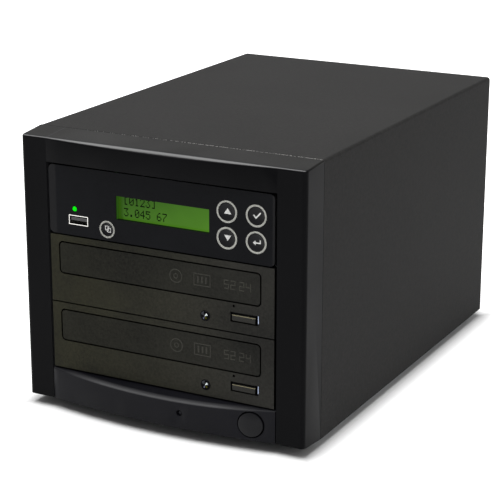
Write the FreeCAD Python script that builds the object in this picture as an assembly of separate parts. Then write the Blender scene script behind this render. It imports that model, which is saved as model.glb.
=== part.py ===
import FreeCAD, Part
import math
import os

# A desktop disc duplicator: a steel case with a moulded front, two optical drives one above the other, and a
# control panel over them. Millimetres, +Z up, the front looks along -Y, +X is right seen from the front.
# The origin is under the middle of the whole object, at the height of the feet's undersides.

Vector = FreeCAD.Vector

# Driving sizes: the standard bays, the borders round them, and the front
bay_width = 148.0
bay_pitch = 42.0
drive_count = 2
side_border = 19.5
top_border = 16.1
lowest_bay_rise = 22.1
bezel_depth = 21.0
foot_height = 5.0
top_bulge = 5.0
panel_bulge = 7.5
side_taper = 0.6
top_taper = 1.8
bottom_taper = 1.5

# Sheet, walls and gaps shared by many pieces
sheet = 1.0
thin_sheet = 0.8
moulded_wall = 2.0
bezel_wall = 2.5
board_thickness = 1.6
drop_gap = 0.3
running_gap = 0.3
shaft_gap = 0.05
cut_over = 1.0
cover_seam = 0.4
snug_gap = 0.1
cover_bend = 2.0
cover_flange = 9.0
pan_flange = 14.0
flange_depth = 11.0

# Seams and gaps of the bays
bay_seam = 0.5
drive_seam = 0.8
panel_top_gap = 1.0
opening_side_gap = 1.4
opening_arch = 1.2

# Front bezel
corner_radius = 2.8
top_edge_radius = 1.1
hook_width = 4.0
hook_height = 10.0
hook_reach = 4.0
hook_rib_depth = 8.0
hook_inset = 4.5
hook_height_shares = (0.16, 0.55, 0.86)

# Lower front panel
panel_seat_depth = 8.0
panel_seam = 0.5
ledge_drop = 3.1
ledge_back = 1.2
ledge_round = 1.3
button_inset = 14.7
button_rise = 11.4
button_radius = 7.3
button_gap = 0.8
button_dome = 1.2
button_proud = 0.5
button_travel = 2.5
button_flange_step = 1.9
button_flange_thickness = 1.4
button_flange_half_height = 3.6
stem_entry_share = 0.3
button_stem_radius = 2.5
sleeve_wall = 1.6
sleeve_back = 2.2
button_stop_gap = 1.5
lamp_step = 44.4
lamp_rise = 11.6
lamp_radius = 1.5
lamp_length = 5.5
lamp_recess_step = 0.4
lamp_recess_depth = 1.2
lamp_flange_step = 0.5
lamp_flange_thickness = 1.0
lamp_lead_radius = 0.3
lamp_lead_spacing = 1.3

# Power switch behind the button
switch_width = 13.0
switch_depth = 10.0
switch_height = 11.0
switch_bore_depth = 7.0
switch_bore_gap = 0.2
switch_lug = 2.0

# Control panel: insets are measured from the plate's left or right end, rises from the bottom of its bay
plate_thickness = 2.5
plate_corner = 3.0
plate_rim_depth = 8.0
plate_tab_length = 44.0
plate_tab_height = 14.0
window_left_inset = 45.8
window_key_step = 11.25
window_low = 14.1
window_high = 28.1
key_right_inset = 11.45
key_column_step = 18.4
key_low_rise = 13.05
key_row_step = 15.3
key_top_border = 14.45
key_hole_radius = 5.4
copy_key_inset = 39.5
copy_key_rise = 7.2
copy_key_hole_radius = 4.2
key_side_gap = 0.2
key_sunk = 0.3
key_flange_thickness = 0.8
key_stem_radius = 1.6
key_travel = 0.8
key_edge_radius = 0.5
key_flange_grip = 0.35
tact_size = 6.0
tact_height = 3.4
tact_plunger_radius = 1.7
tact_plunger_height = 1.1
status_inset = 17.3
status_rise = 16.6
boss_radius = 2.6
boss_hole_radius = 1.1
boss_inset = 5.5

# Display
display_frame_side = 2.45
display_frame_rim = 4.0
display_frame_depth = 7.0
display_frame_wall = 0.6
display_frame_lip = 2.0
display_glass_thickness = 2.8

# Socket for flash drives
port_inset = 20.0
port_rise = 10.0
port_width = 13.1
port_height = 5.7
port_length = 14.0
port_wall = 0.4
port_gap = 0.3
port_proud = 0.2
tongue_width = 11.1
tongue_height = 1.9
tongue_length = 8.9
tongue_sunk = 0.8
contact_width = 1.1
contact_thickness = 0.25
contact_length = 6.0
contact_count = 4
contact_pitch = 2.2

# Brackets and the controller over the drives
bracket_gap = 0.3
bracket_rear_step = 5.0
bracket_top_rise = 26.0
bracket_hook_gap = 0.4
bracket_window_height = 16.0
bracket_window_length = 60.0
bracket_window_share = 0.62
controller_tray_rise = 1.5
controller_tray_start = 32.0
controller_tray_rear_step = 20.0
controller_tray_flange = 12.0
controller_standoff_height = 5.0
controller_standoff_radius = 2.5
controller_margin = 8.0
chip_size = 28.0
chip_height = 3.0
small_chip_size = 14.0
small_chip_height = 1.5
memory_inset = 39.3
header_width = 30.0
header_depth = 6.0
header_height = 9.0
sata_width = 17.0
sata_depth = 8.0
sata_height = 7.0
can_radius = 4.0
can_height = 11.0

# Optical drives: heights are measured from the underside of the drive's case
drive_side_step = 1.0
drive_top_step = 0.7
drive_rear_room = 10.0
drive_front_depth = 5.0
drive_lift = 0.35
tray_front_left_border = 6.5
tray_front_right_border = 9.0
tray_front_top_border = 4.7
tray_front_height = 18.3
tray_front_depth = 3.2
tray_front_gap = 0.9
tray_front_corner = 2.0
tray_side_step = 1.25
tray_floor_step = 3.4
tray_floor = 2.0
tray_rim_height = 4.8
tray_rim_edge = 2.5
tray_side_wall = 4.0
tray_front_wall = 15.8
tray_rear_wall = 19.0
small_recess_radius = 41.0
disc_step = 1.0
tray_hole_radius = 18.0
tray_slot_width = 56.0
tray_slot_reach = 12.0
eject_right_border = 9.7
eject_recess_width = 18.0
eject_low = 6.0
eject_high = 12.0
eject_gap = 0.8
eject_top_gap = 1.5
eject_cap_width = 14.8
eject_stop_gap = 0.2
eject_sunk = 0.2
eject_bevel = 0.8
eject_travel = 1.0
eject_flange_step = 0.6
eject_flange_thickness = 0.9
light_width = 0.9
light_sunk = 0.6
light_depth = 3.2
lens_step = 16.3
lens_rise = 6.8
lens_radius = 2.95
lens_proud = 0.3
lens_depth = 4.0
pinhole_step = 2.1
pinhole_drop = 2.8
pinhole_radius = 0.8

# Loader frame, guides and gear
rail_lip = 2.0
rail_ledge = 3.0
rail_lip_thickness = 1.8
cross_start = 1.0
cross_depth = 22.0
rear_cross_low = 5.0
rear_cross_depth = 7.0
gear_module = 1.25
gear_teeth = 14
gear_addendum = 1.0
gear_dedendum = 1.5
gear_backlash = 1.0
gear_flank_angle = 20.0
gear_thickness = 2.6
gear_pin_radius = 1.5
gear_y = 16.0
rack_inset = 10.85
rack_rib = 2.5
rack_depth = 3.1

# Traverse under the tray
traverse_room = 3.5
traverse_sheet = 1.6
traverse_rest_rise = 7.9
traverse_side_step = 20.0
traverse_front = 25.0
traverse_reach = 11.0
traverse_pin_radius = 1.5
traverse_pin_length = 4.5
bearing_width = 4.0
bearing_gap = 0.4
bearing_height = 4.4
bearing_length = 9.0
traverse_side_rail = 17.0
guide_rod_radius = 1.25
guide_rod_inset = 6.0
guide_ear = 5.0
guide_ear_up = 1.3
guide_ear_down = 2.5
motor_radius = 11.0
motor_height = 4.0
motor_shaft_radius = 1.25
turntable_radius = 13.0
turntable_thickness = 1.8
turntable_lift = 0.4
hub_radius = 7.4
hub_top_radius = 5.2
hub_height = 2.0
shaft_depth = 3.0
sled_side_gap = 3.0
sled_length = 20.0
sled_height = 3.9
sled_rest = 27.0
tower_rod_gap = 9.0
tower_length = 14.0
tower_rise = 4.6
objective_radius = 4.0
objective_height = 1.0

# Clamp over the tray
clamp_width = 28.0
clamp_rise = 0.5
clamp_hole_radius = 9.0
clamp_neck_gap = 0.4
puck_radius = 15.0
puck_cap_radius = 11.5
puck_thickness = 1.6
puck_roof = 0.2
clamp_leg = 3.0
lid_flange = 5.0

# Board under the traverse
drive_board_rear_step = 5.0
drive_board_length = 73.0
drive_board_margin = 12.0
drive_board_rise = 2.0

# Power supply at the rear
supply_width = 125.0
supply_length = 100.0
supply_top_room = 17.5
supply_border = 5.0
supply_fan_inset = 36.5
supply_fan_margin = 4.75
supply_fan_depth = 15.0
grille_hole_radius = 2.4
grille_rings = 3
grille_ring_hole_count = 6
supply_hole_inset = 6.0
supply_board_rear_step = 32.0
transformer_side_gap = 13.0
transformer_x = 3.0
heat_sink_step = 18.0
heat_sink_thickness = 4.0
heat_sink_height = 39.0
tall_can_radius = 8.0
tall_can_height = 22.0
tall_can_inset = 17.5
tall_can_pitch = 20.0
supply_screw_radius = 1.6
inlet_inset = 24.5
inlet_rise = 19.0
inlet_width = 27.0
inlet_height = 19.6
inlet_body_depth = 19.0
inlet_flange_step = 2.0
inlet_flange_thickness = 1.6
inlet_cavity_width = 24.4
inlet_cavity_height = 16.4
inlet_cavity_depth = 16.5
inlet_corner = 3.5
inlet_pin_width = 2.0
inlet_pin_height = 4.0
inlet_pin_length = 14.0
inlet_pin_spacing = 7.0
inlet_pin_offset = 2.0
rocker_step = 27.0
rocker_hole_width = 19.2
rocker_hole_height = 13.0
rocker_flange_step = 1.2
rocker_flange_thickness = 1.4
rocker_body_depth = 13.0
rocker_wall = 1.3
rocker_cavity_depth = 7.0
rocker_side_gap = 0.35
rocker_tilt = 8.0
rocker_half_length = 7.5
rocker_end_rise = 3.8
rocker_middle_rise = 1.9
rocker_root = 2.4
rocker_root_half_length = 5.6
rocker_pivot_sunk = 2.4
rocker_pin_radius = 1.0

# Fan over the supply
fan_rise = 4.0
fan_headroom = 11.5
fan_depth = 25.0
fan_corner = 5.0
fan_flange = 4.0
fan_duct_inset = 1.8
fan_duct_wall = 1.5
fan_hole_inset = 4.25
fan_hole_radius = 2.15
fan_hub_radius = 17.0
fan_tip_gap = 1.0
fan_strut = 4.0
fan_strut_thickness = 3.0
fan_struts = 4
first_strut_share = 0.5
fan_blades = 7
fan_blade_thickness = 1.5
fan_blade_pitch = 38.0
fan_shaft_radius = 1.5
fan_shaft_reach = 1.5
blade_chord_share = 0.9
blade_bow_share = 0.1
fan_hub_gap = 0.5
guard_wire_radius = 0.8
guard_weld = 0.2
guard_eye_radius = 4.0
guard_ring_radii_shares = (0.33, 0.6, 0.87)
vent_length = 34.0
vent_width = 3.0
vent_pitch = 7.0
vent_count = 8

# Feet and screws
foot_radius = 8.5
foot_top_radius = 9.5
foot_inset_x = 27.0
foot_inset_y = 26.0
foot_hole_depth = 3.0
screw_radius = 1.5
screw_head_radius = 3.0
screw_head_height = 2.0
screw_slot_width = 0.9
screw_slot_depth = 0.9
screw_gap = 0.2
cross_slot_share = 0.62
cover_screw_length = 4.0
fan_screw_length = 7.5
panel_screw_head = 1.5
panel_screw_length = 4.5
cover_screw_inset = 4.5
cover_screw_height_shares = (0.12, 0.5, 0.88)
drive_screw_rise = 10.0
drive_screw_first = 52.0
drive_screw_pitch = 79.0

# Wiring
cable_radius = 1.8
thin_cable_radius = 1.2
cable_bend = 4.2
lead_room = 9.0
cable_step = 5.0
ribbon_width = 28.0
ribbon_thickness = 1.2
supply_lead_x = -45.0
supply_lead_rise = 50.0
switch_lead_step = 4.0
fan_lead_x = 38.3

# Sizes worked out from the bays and the disc's recess
drive_width = bay_width - 2 * drive_side_step
drive_height = bay_pitch - drive_top_step
tray_front_left = tray_front_left_border - bay_width / 2
tray_front_right = bay_width / 2 - tray_front_right_border
tray_front_high = drive_height - tray_front_top_border
tray_front_low = tray_front_high - tray_front_height
tray_width = tray_front_right - tray_front_left - 2 * tray_side_step
tray_middle_x = (tray_front_left + tray_front_right) / 2
tray_half = tray_width / 2
tray_floor_low = tray_front_low + tray_floor_step
tray_rim_high = tray_floor_low + tray_rim_height
disc_recess_radius = tray_half - tray_side_wall
disc_middle = tray_front_depth + tray_front_wall + disc_recess_radius
tray_length = tray_front_wall + 2 * disc_recess_radius + tray_rear_wall
tray_slot_length = disc_recess_radius + tray_slot_reach
drive_depth = tray_front_depth + tray_length + drive_rear_room
traverse_low = tray_floor_low - traverse_room
traverse_rear = disc_recess_radius + traverse_reach
traverse_width = tray_width - 2 * traverse_side_step
traverse_window_width = traverse_width - 2 * traverse_side_rail
eject_cap_depth = drive_front_depth - eject_sunk - eject_travel - eject_stop_gap
traverse_arm = traverse_front + traverse_rear - 2 * traverse_pin_radius
traverse_drop_angle = math.degrees(math.asin((traverse_low - traverse_rest_rise) / traverse_arm))
guide_rod_x = traverse_window_width / 2 - guide_rod_inset
tower_width = 2 * (guide_rod_x - tower_rod_gap)
sled_width = traverse_window_width - 2 * sled_side_gap
rail_length = disc_middle + traverse_rear + rear_cross_depth - drive_front_depth
drive_board_start = drive_depth - drive_board_rear_step - drive_board_length
rack_pitch_line = tray_middle_x - tray_half + rack_inset
eject_right = bay_width / 2 - eject_right_border
eject_left = eject_right - eject_recess_width
lens_x = eject_left - lens_step
pinhole_x = eject_left + pinhole_step
pinhole_rise = tray_front_low - pinhole_drop
gear_pitch_radius = gear_module * gear_teeth / 2
gear_x = rack_pitch_line + gear_pitch_radius
gear_slant = math.tan(math.radians(gear_flank_angle))

# Sizes worked out for the case, the supply and the fan
key_high_rise = key_low_rise + key_row_step
panel_bay_height = key_high_rise + key_top_border
case_width = bay_width + 2 * side_border
case_height = lowest_bay_rise + bay_pitch * drive_count + panel_bay_height + top_border
cover_length = drive_depth - bezel_depth + lead_room + supply_length + 2 * sheet
rocker_rise = inlet_rise + rocker_step
supply_height = rocker_rise + supply_top_room
supply_fan_radius = supply_height / 2 - supply_fan_margin
supply_fan_x = supply_fan_inset - supply_width / 2
supply_board_length = supply_length - supply_board_rear_step
inlet_x = supply_width / 2 - inlet_inset
tall_can_x = supply_width / 2 - tall_can_inset
heat_sink_x = tall_can_x - heat_sink_step
transformer_size = 2 * (heat_sink_x - transformer_side_gap)
fan_size = case_height - cover_flange - sheet - supply_height - fan_headroom
fan_duct_radius = fan_size / 2 - fan_duct_inset
fan_hole_spacing = fan_size - 2 * fan_hole_inset
supply_hub_radius = supply_fan_radius * fan_hub_radius / fan_duct_radius
bracket_length = drive_depth - bezel_depth - sheet - bracket_rear_step
controller_tray_length = drive_depth - controller_tray_start - controller_tray_rear_step

# Places worked out from the sizes above
rear_proud = 2 * guard_wire_radius + screw_head_height - sheet
total_depth = panel_bulge + bezel_depth + cover_length + rear_proud
front_tip_y = -total_depth / 2
face_y = front_tip_y + panel_bulge
seam_y = face_y + bezel_depth
rear_y = seam_y + cover_length
half_width = case_width / 2
floor_z = foot_height
top_z = floor_z + case_height
lower_bay_z = floor_z + lowest_bay_rise
bay_floors = [lower_bay_z + bay_pitch * bay for bay in range(drive_count)]
panel_z = lower_bay_z + bay_pitch * drive_count
opening_top_z = panel_z + panel_bay_height
opening_half = bay_width / 2 + opening_side_gap
opening_floor_z = lower_bay_z - panel_seam
panel_seat_y = face_y + panel_seat_depth
chassis_half = half_width - sheet - drop_gap
chassis_top_z = top_z - sheet - drop_gap
deck_z = floor_z + sheet
frame_back_y = seam_y + sheet
rear_panel_y = rear_y - 2 * sheet
rear_face_y = rear_y - sheet
bracket_half = drive_width / 2 + bracket_gap
bracket_foot = chassis_half - hook_inset - hook_width - bracket_hook_gap - bracket_half - sheet
memory_x = bracket_half - memory_inset
foot_screw_length = foot_height - foot_hole_depth + sheet
button_cap_back = panel_seat_depth - button_travel - button_stop_gap
drive_back_y = face_y + drive_depth
board_y = face_y + plate_thickness + display_frame_depth
supply_front_y = rear_panel_y - supply_length
fan_z = deck_z + supply_height + fan_rise + fan_size / 2
button_x = opening_half - button_inset
button_z = floor_z + button_rise
lamp_x = button_x - lamp_step
lamp_z = floor_z + lamp_rise
plate_half = bay_width / 2
plate_low_z = panel_z + bay_seam
plate_high_z = opening_top_z - panel_top_gap
key_right_x = plate_half - key_right_inset
key_left_x = key_right_x - key_column_step
copy_key_x = copy_key_inset - plate_half
status_x = status_inset - plate_half
port_x = port_inset - plate_half
port_z = panel_z + port_rise
window_left = window_left_inset - plate_half
window_right = key_left_x - window_key_step
window_x = (window_left + window_right) / 2
window_z = panel_z + (window_low + window_high) / 2
display_frame_width = window_right - window_left + 2 * display_frame_side
display_frame_height = window_high - window_low + 2 * display_frame_rim
board_half = bracket_half - moulded_wall - drop_gap
board_low_z = plate_low_z + moulded_wall + drop_gap
board_high_z = plate_high_z - moulded_wall - drop_gap


# Plain shapes

def box(xs, ys, zs):
    """A block between three pairs of limits."""
    corner = Vector(min(xs), min(ys), min(zs))
    return Part.makeBox(abs(xs[1] - xs[0]), abs(ys[1] - ys[0]), abs(zs[1] - zs[0]), corner)


def rod(radius, start, end):
    """A round bar from one point to another."""
    run = end - start
    return Part.makeCylinder(radius, run.Length, start, run)


def cone(start_radius, end_radius, start, end):
    """A round bar whose radius changes evenly from one end to the other."""
    run = end - start
    return Part.makeCone(start_radius, end_radius, run.Length, start, run)


def prism(points, run):
    """A flat outline of straight sides drawn along a run."""
    return Part.Face(Part.makePolygon(points + points[:1])).extrude(run)


def fuse(shapes):
    """One solid of pieces that meet."""
    if len(shapes) == 1:
        return shapes[0]
    return shapes[0].multiFuse(shapes[1:]).removeSplitter()


def edges_along(shape, axis):
    """The straight edges that run along an axis."""
    chosen = []
    for edge in shape.Edges:
        first, last = edge.firstVertex().Point, edge.lastVertex().Point
        run = last - first
        if run.Length > 0 and abs(run.normalize().dot(axis)) == 1.0:
            chosen.append(edge)
    return chosen


def rounded_box(xs, ys, zs, radius, axis):
    """A block whose four edges along an axis are rounded."""
    block = box(xs, ys, zs)
    return block.makeFillet(radius, edges_along(block, axis))


def along_x(length):
    return Vector(length, 0, 0)


def along_y(length):
    return Vector(0, length, 0)


def along_z(length):
    return Vector(0, 0, length)


def both_sides(half):
    """The limits of a piece that lies across the middle."""
    return (-half, half)


def screw(head_base, way):
    """A pan-head screw whose head stands on head_base and whose shank runs along way."""
    into = Vector(way)
    out = Vector(way).normalize() * -screw_head_height
    body = rod(screw_radius, head_base, head_base + into)
    head = rod(screw_head_radius, head_base, head_base + out)
    top = head_base + out
    slots = []
    across = into.cross(Vector(into.y, into.z, into.x)).normalize()
    for side in (across, into.cross(across).normalize()):
        depth = Vector(way).normalize() * screw_slot_depth
        other = Vector(way).normalize().cross(side) * (screw_slot_width / 2)
        half = side * (screw_head_radius * cross_slot_share)
        corners = [top - half - other, top + half - other, top + half + other, top - half + other]
        slots.append(prism(corners, depth))
    return fuse([head, body]).cut(slots)


# Moulded front

def front_section(y, inset):
    """The rectangle of the tapered front at one depth, drawn in by inset."""
    taper = (seam_y - y) / bezel_depth
    half = half_width - side_taper * taper - inset
    low = floor_z + bottom_taper * taper + inset
    high = top_z - top_taper * taper - inset
    corners = [Vector(-half, y, low), Vector(half, y, low), Vector(half, y, high), Vector(-half, y, high)]
    return Part.makePolygon(corners + corners[:1])


def front_block(inset, bulge, back_y):
    """The front's outer form: tapered towards the tip, flat at both sides, bulged in an arc between them."""
    sections = [front_section(front_tip_y - cut_over, inset), front_section(back_y, inset)]
    tapered = Part.makeLoft(sections, True, True)
    wide = half_width + cut_over
    low = Vector(0, 0, floor_z - cut_over)
    near_y = face_y + inset
    left_crease = Vector(-opening_half, near_y, 0) + low
    right_crease = Vector(opening_half, near_y, 0) + low
    tip = Vector(0, near_y - bulge, 0) + low
    left_front = Vector(-wide, near_y, 0) + low
    right_front = Vector(wide, near_y, 0) + low
    left_back = Vector(-wide, back_y + cut_over, 0) + low
    right_back = Vector(wide, back_y + cut_over, 0) + low
    edges = [Part.LineSegment(left_front, left_crease).toShape()]
    edges.append(Part.Arc(left_crease, tip, right_crease).toShape())
    edges.append(Part.LineSegment(right_crease, right_front).toShape())
    edges.append(Part.LineSegment(right_front, right_back).toShape())
    edges.append(Part.LineSegment(right_back, left_back).toShape())
    edges.append(Part.LineSegment(left_back, left_front).toShape())
    plan = Part.Face(Part.Wire(edges)).extrude(along_z(case_height + 2 * cut_over))
    return tapered.common(plan)


def arched_prism(half, low, high, rise, ys):
    """A block with a shallow arch on top."""
    y = min(ys)
    left_low, right_low = Vector(-half, y, low), Vector(half, y, low)
    left_high, right_high = Vector(-half, y, high), Vector(half, y, high)
    edges = [Part.LineSegment(left_low, right_low).toShape()]
    edges.append(Part.LineSegment(right_low, right_high).toShape())
    edges.append(Part.Arc(right_high, Vector(0, y, high + rise), left_high).toShape())
    edges.append(Part.LineSegment(left_high, left_low).toShape())
    return Part.Face(Part.Wire(edges)).extrude(along_y(abs(ys[1] - ys[0])))


def rounded_front():
    """The bezel's outer form with its two upright corners and its top front edge rounded."""
    block = front_block(0, top_bulge, seam_y)
    uprights = []
    crease_limit = (opening_half + half_width) / 2
    for edge in block.Edges:
        bound = edge.BoundBox
        outside = bound.XMin * bound.XMax > crease_limit ** 2
        if outside and bound.ZLength > case_height / 2 and bound.YMax < seam_y - bezel_wall:
            uprights.append(edge)
    block = block.makeFillet(corner_radius, uprights)
    tops = []
    for edge in block.Edges:
        bound = edge.BoundBox
        near_front = bound.YMax < face_y + corner_radius + top_edge_radius
        if near_front and bound.ZMin > opening_top_z and bound.ZLength < top_taper:
            tops.append(edge)
    return block.makeFillet(top_edge_radius, tops)


def bezel_hooks():
    """Snap hooks on the bezel's side walls, through slots of the front frame."""
    hooks = []
    for share in hook_height_shares:
        middle = floor_z + case_height * share
        zs = (middle - hook_height / 2, middle + hook_height / 2)
        for side in (-1, 1):
            outer = side * (chassis_half - hook_inset)
            inner = outer - side * hook_width
            wall = side * (half_width - bezel_wall / 2 - side_taper)
            rib = box((inner, wall), (seam_y - hook_rib_depth, seam_y), zs)
            prong = box((inner, outer), (seam_y, frame_back_y + hook_reach), zs)
            hooks += [rib, prong]
    return hooks


def front_bezel():
    """The moulded frame round the bays, hollow behind, with a seat for the lower panel."""
    back = seam_y + cut_over
    through = (front_tip_y - 2 * cut_over, back)
    opening = arched_prism(opening_half, opening_floor_z, opening_top_z, opening_arch, through)
    surround = arched_prism(opening_half + bezel_wall, opening_floor_z - bezel_wall,
                            opening_top_z + bezel_wall, opening_arch, through)
    seat = box(both_sides(opening_half), (through[0], panel_seat_y),
               (floor_z - cut_over, opening_floor_z + cut_over))
    seat_wall = box(both_sides(opening_half + bezel_wall), (through[0], panel_seat_y + bezel_wall),
                    (floor_z - cut_over, opening_floor_z))
    pocket = front_block(bezel_wall, top_bulge, back).cut([surround, seat_wall])
    body = rounded_front().cut([pocket, opening, seat])
    body = fuse([body] + bezel_hooks())
    stem_hole = rod(button_stem_radius + drop_gap, Vector(button_x, front_tip_y, button_z),
                    Vector(button_x, seam_y, button_z))
    lead_hole = rod(lamp_radius + lamp_flange_step, Vector(lamp_x, front_tip_y, lamp_z),
                    Vector(lamp_x, seam_y, lamp_z))
    return body.cut([stem_hole, lead_hole])


def lower_front_panel():
    """The bulged panel under the drives, with the sloping ledge along its top and a sleeve for the button."""
    half = opening_half - panel_seam
    top = opening_floor_z
    wide = box(both_sides(half), (front_tip_y - cut_over, panel_seat_y), (floor_z - cut_over, top))
    body = front_block(0, panel_bulge, seam_y).common(wide)
    slope = ledge_drop / (panel_bulge + ledge_back)
    far_y, back_y = front_tip_y - cut_over, face_y + ledge_back
    ledge_points = [Vector(-half_width, back_y, top),
                    Vector(-half_width, far_y, top - slope * (back_y - far_y)),
                    Vector(-half_width, far_y, top + cut_over),
                    Vector(-half_width, back_y, top + cut_over)]
    ledge = prism(ledge_points, along_x(case_width))
    hollow = box(both_sides(half - moulded_wall), (front_tip_y - cut_over, seam_y),
                 (floor_z - cut_over, top - ledge_drop - moulded_wall))
    pocket = front_block(moulded_wall, panel_bulge, seam_y + cut_over).common(hollow)
    bore_start = Vector(button_x, front_tip_y - cut_over, button_z)
    bore_end = Vector(button_x, seam_y, button_z)
    sleeve_end = Vector(button_x, face_y + sleeve_back, button_z)
    bore_radius = button_radius + button_gap
    sleeve = rod(bore_radius + sleeve_wall, bore_start, sleeve_end).common(body)
    body = fuse([body.cut(pocket), sleeve]).cut(ledge)
    ledge_edges = []
    for edge in body.Edges:
        bound = edge.BoundBox
        in_front = bound.YMax < face_y and bound.ZMin > top - 2 * ledge_drop
        if in_front and bound.XLength > opening_half:
            ledge_edges.append(edge)
    body = body.makeFillet(ledge_round, ledge_edges)
    lamp_front = Vector(lamp_x, front_tip_y - cut_over, lamp_z)
    lamp_hole = rod(lamp_radius + snug_gap, lamp_front, Vector(lamp_x, seam_y, lamp_z))
    recess_back = Vector(lamp_x, face_y - arc_depth(lamp_x, panel_bulge) + lamp_recess_depth, lamp_z)
    lamp_recess = rod(lamp_radius + lamp_recess_step, lamp_front, recess_back)
    return body.cut([rod(bore_radius, bore_start, bore_end), lamp_hole, lamp_recess])


def arc_depth(x, bulge):
    """How far the bulged front stands before the face plane at one place across."""
    radius = (opening_half ** 2 + bulge ** 2) / (2 * bulge)
    return math.sqrt(radius ** 2 - x ** 2) - (radius - bulge)


def power_button():
    """A domed round button, its face parallel to the bulged panel, with a retaining flange and a stem."""
    front = face_y - arc_depth(button_x, panel_bulge)
    at = Vector(button_x, 0, button_z)
    cap_back = face_y + button_cap_back
    dome_radius = (button_radius ** 2 + button_dome ** 2) / (2 * button_dome)
    bulge_radius = (opening_half ** 2 + panel_bulge ** 2) / (2 * panel_bulge)
    lean = math.asin(button_x / bulge_radius)
    inward = Vector(-math.sin(lean), math.cos(lean), 0) * (dome_radius - button_dome - button_proud)
    ball = Part.makeSphere(dome_radius, at + along_y(front) + inward)
    cap = rod(button_radius, at + along_y(front_tip_y - cut_over), at + along_y(cap_back)).common(ball)
    flange_front = cap_back - button_flange_thickness
    flange_radius = button_radius + button_flange_step
    ears = box((button_x - flange_radius, button_x + flange_radius), (flange_front, cap_back),
               (button_z - button_flange_half_height, button_z + button_flange_half_height))
    flange = rod(flange_radius, at + along_y(flange_front), at + along_y(cap_back)).common(ears)
    stem_end = panel_seat_y + bezel_wall + stem_entry_share * switch_bore_depth
    stem = rod(button_stem_radius, at + along_y(cap_back), at + along_y(stem_end))
    return fuse([cap, flange, stem])


def power_switch():
    """The latching switch on the back of the bezel's seat, with a bore for the stem."""
    start = panel_seat_y + bezel_wall
    block = box((button_x - switch_width / 2, button_x + switch_width / 2), (start, start + switch_depth),
                (button_z - switch_height / 2, button_z + switch_height / 2))
    bore = rod(button_stem_radius + switch_bore_gap, Vector(button_x, start - cut_over, button_z),
               Vector(button_x, start + switch_bore_depth, button_z))
    legs = []
    for x in both_sides(switch_width / 2 - switch_lug):
        legs.append(box((button_x + x - lamp_lead_radius, button_x + x + lamp_lead_radius),
                        (start + switch_depth, start + switch_depth + switch_lug),
                        (button_z - switch_lug, button_z + switch_lug)))
    return fuse([block.cut(bore)] + legs)


def lamp(x, z, front, board_front):
    """A small round lamp with a flange and two leads."""
    at = Vector(x, 0, z)
    tip = Part.makeSphere(lamp_radius, at + along_y(front + lamp_radius))
    body = rod(lamp_radius, at + along_y(front + lamp_radius), at + along_y(front + lamp_length))
    flange = rod(lamp_radius + lamp_flange_step / 2,
                 at + along_y(front + lamp_length - lamp_flange_thickness), at + along_y(front + lamp_length))
    pieces = [tip, body, flange]
    for side in both_sides(lamp_lead_spacing / 2):
        lead_at = at + along_x(side)
        lead = rod(lamp_lead_radius, lead_at + along_y(front + lamp_length), lead_at + along_y(board_front))
        pieces.append(lead)
    return fuse(pieces)


def indicator_lamps():
    """The status lamp in the control panel and the lamp behind the lower panel's hole."""
    status = lamp(status_x, panel_z + status_rise, face_y - lamp_radius / 2, board_y)
    front = face_y - arc_depth(lamp_x, panel_bulge) + lamp_radius / 2
    power = lamp(lamp_x, lamp_z, front, panel_seat_y + bezel_wall)
    return Part.Compound([status, power])


# Control panel

keys = {
    "key_up": (key_left_x, key_high_rise, key_hole_radius),
    "key_down": (key_left_x, key_low_rise, key_hole_radius),
    "key_enter": (key_right_x, key_high_rise, key_hole_radius),
    "key_back": (key_right_x, key_low_rise, key_hole_radius),
    "key_copy": (copy_key_x, copy_key_rise, copy_key_hole_radius),
}
boss_places = []
for boss_x in (-board_half + boss_inset, (key_left_x + key_right_x) / 2):
    for boss_z in (board_low_z + boss_inset, board_high_z - boss_inset):
        boss_places.append((boss_x, boss_z))


def control_panel():
    """The plate of the top bay with its window, its round holes and a tab at each side."""
    across = Vector(0, 1, 0)
    plate = rounded_box(both_sides(plate_half), (face_y, face_y + plate_rim_depth),
                        (plate_low_z, plate_high_z), plate_corner, across)
    pocket = box(both_sides(plate_half - moulded_wall),
                 (face_y + plate_thickness, face_y + plate_rim_depth + cut_over),
                 (plate_low_z + moulded_wall, plate_high_z - moulded_wall))
    pieces = [plate.cut(pocket)]
    for side in (-1, 1):
        edge = side * bracket_half
        tab = box((edge, edge - side * moulded_wall), (face_y + plate_thickness, face_y + plate_tab_length),
                  (window_z - plate_tab_height / 2, window_z + plate_tab_height / 2))
        pieces.append(tab)
    for x, z in boss_places:
        pieces.append(rod(boss_radius, Vector(x, face_y + moulded_wall, z), Vector(x, board_y, z)))
    body = fuse(pieces)
    through = (face_y - cut_over, face_y + plate_thickness + cut_over)
    tools = [box((window_left, window_right), through, (panel_z + window_low, panel_z + window_high))]
    for x, rise, radius in keys.values():
        z = panel_z + rise
        tools.append(rod(radius, Vector(x, through[0], z), Vector(x, through[1], z)))
    tools.append(rod(lamp_radius + snug_gap, Vector(status_x, through[0], panel_z + status_rise),
                     Vector(status_x, through[1], panel_z + status_rise)))
    tools.append(port_block(port_gap, through))
    for x, z in boss_places:
        tools.append(rod(boss_hole_radius, Vector(x, face_y + plate_thickness, z),
                         Vector(x, board_y + cut_over, z)))
    return body.cut(tools)


def port_block(step, ys):
    """The outer block of the socket, larger by a step on each side."""
    half_x, half_z = port_width / 2 + step, port_height / 2 + step
    return box((port_x - half_x, port_x + half_x), ys, (port_z - half_z, port_z + half_z))


def usb_shell():
    """The folded metal shell of the socket."""
    front = face_y - port_proud
    shell = port_block(0, (front, front + port_length))
    return shell.cut(port_block(-port_wall, (front - cut_over, front + port_length + cut_over)))


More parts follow.
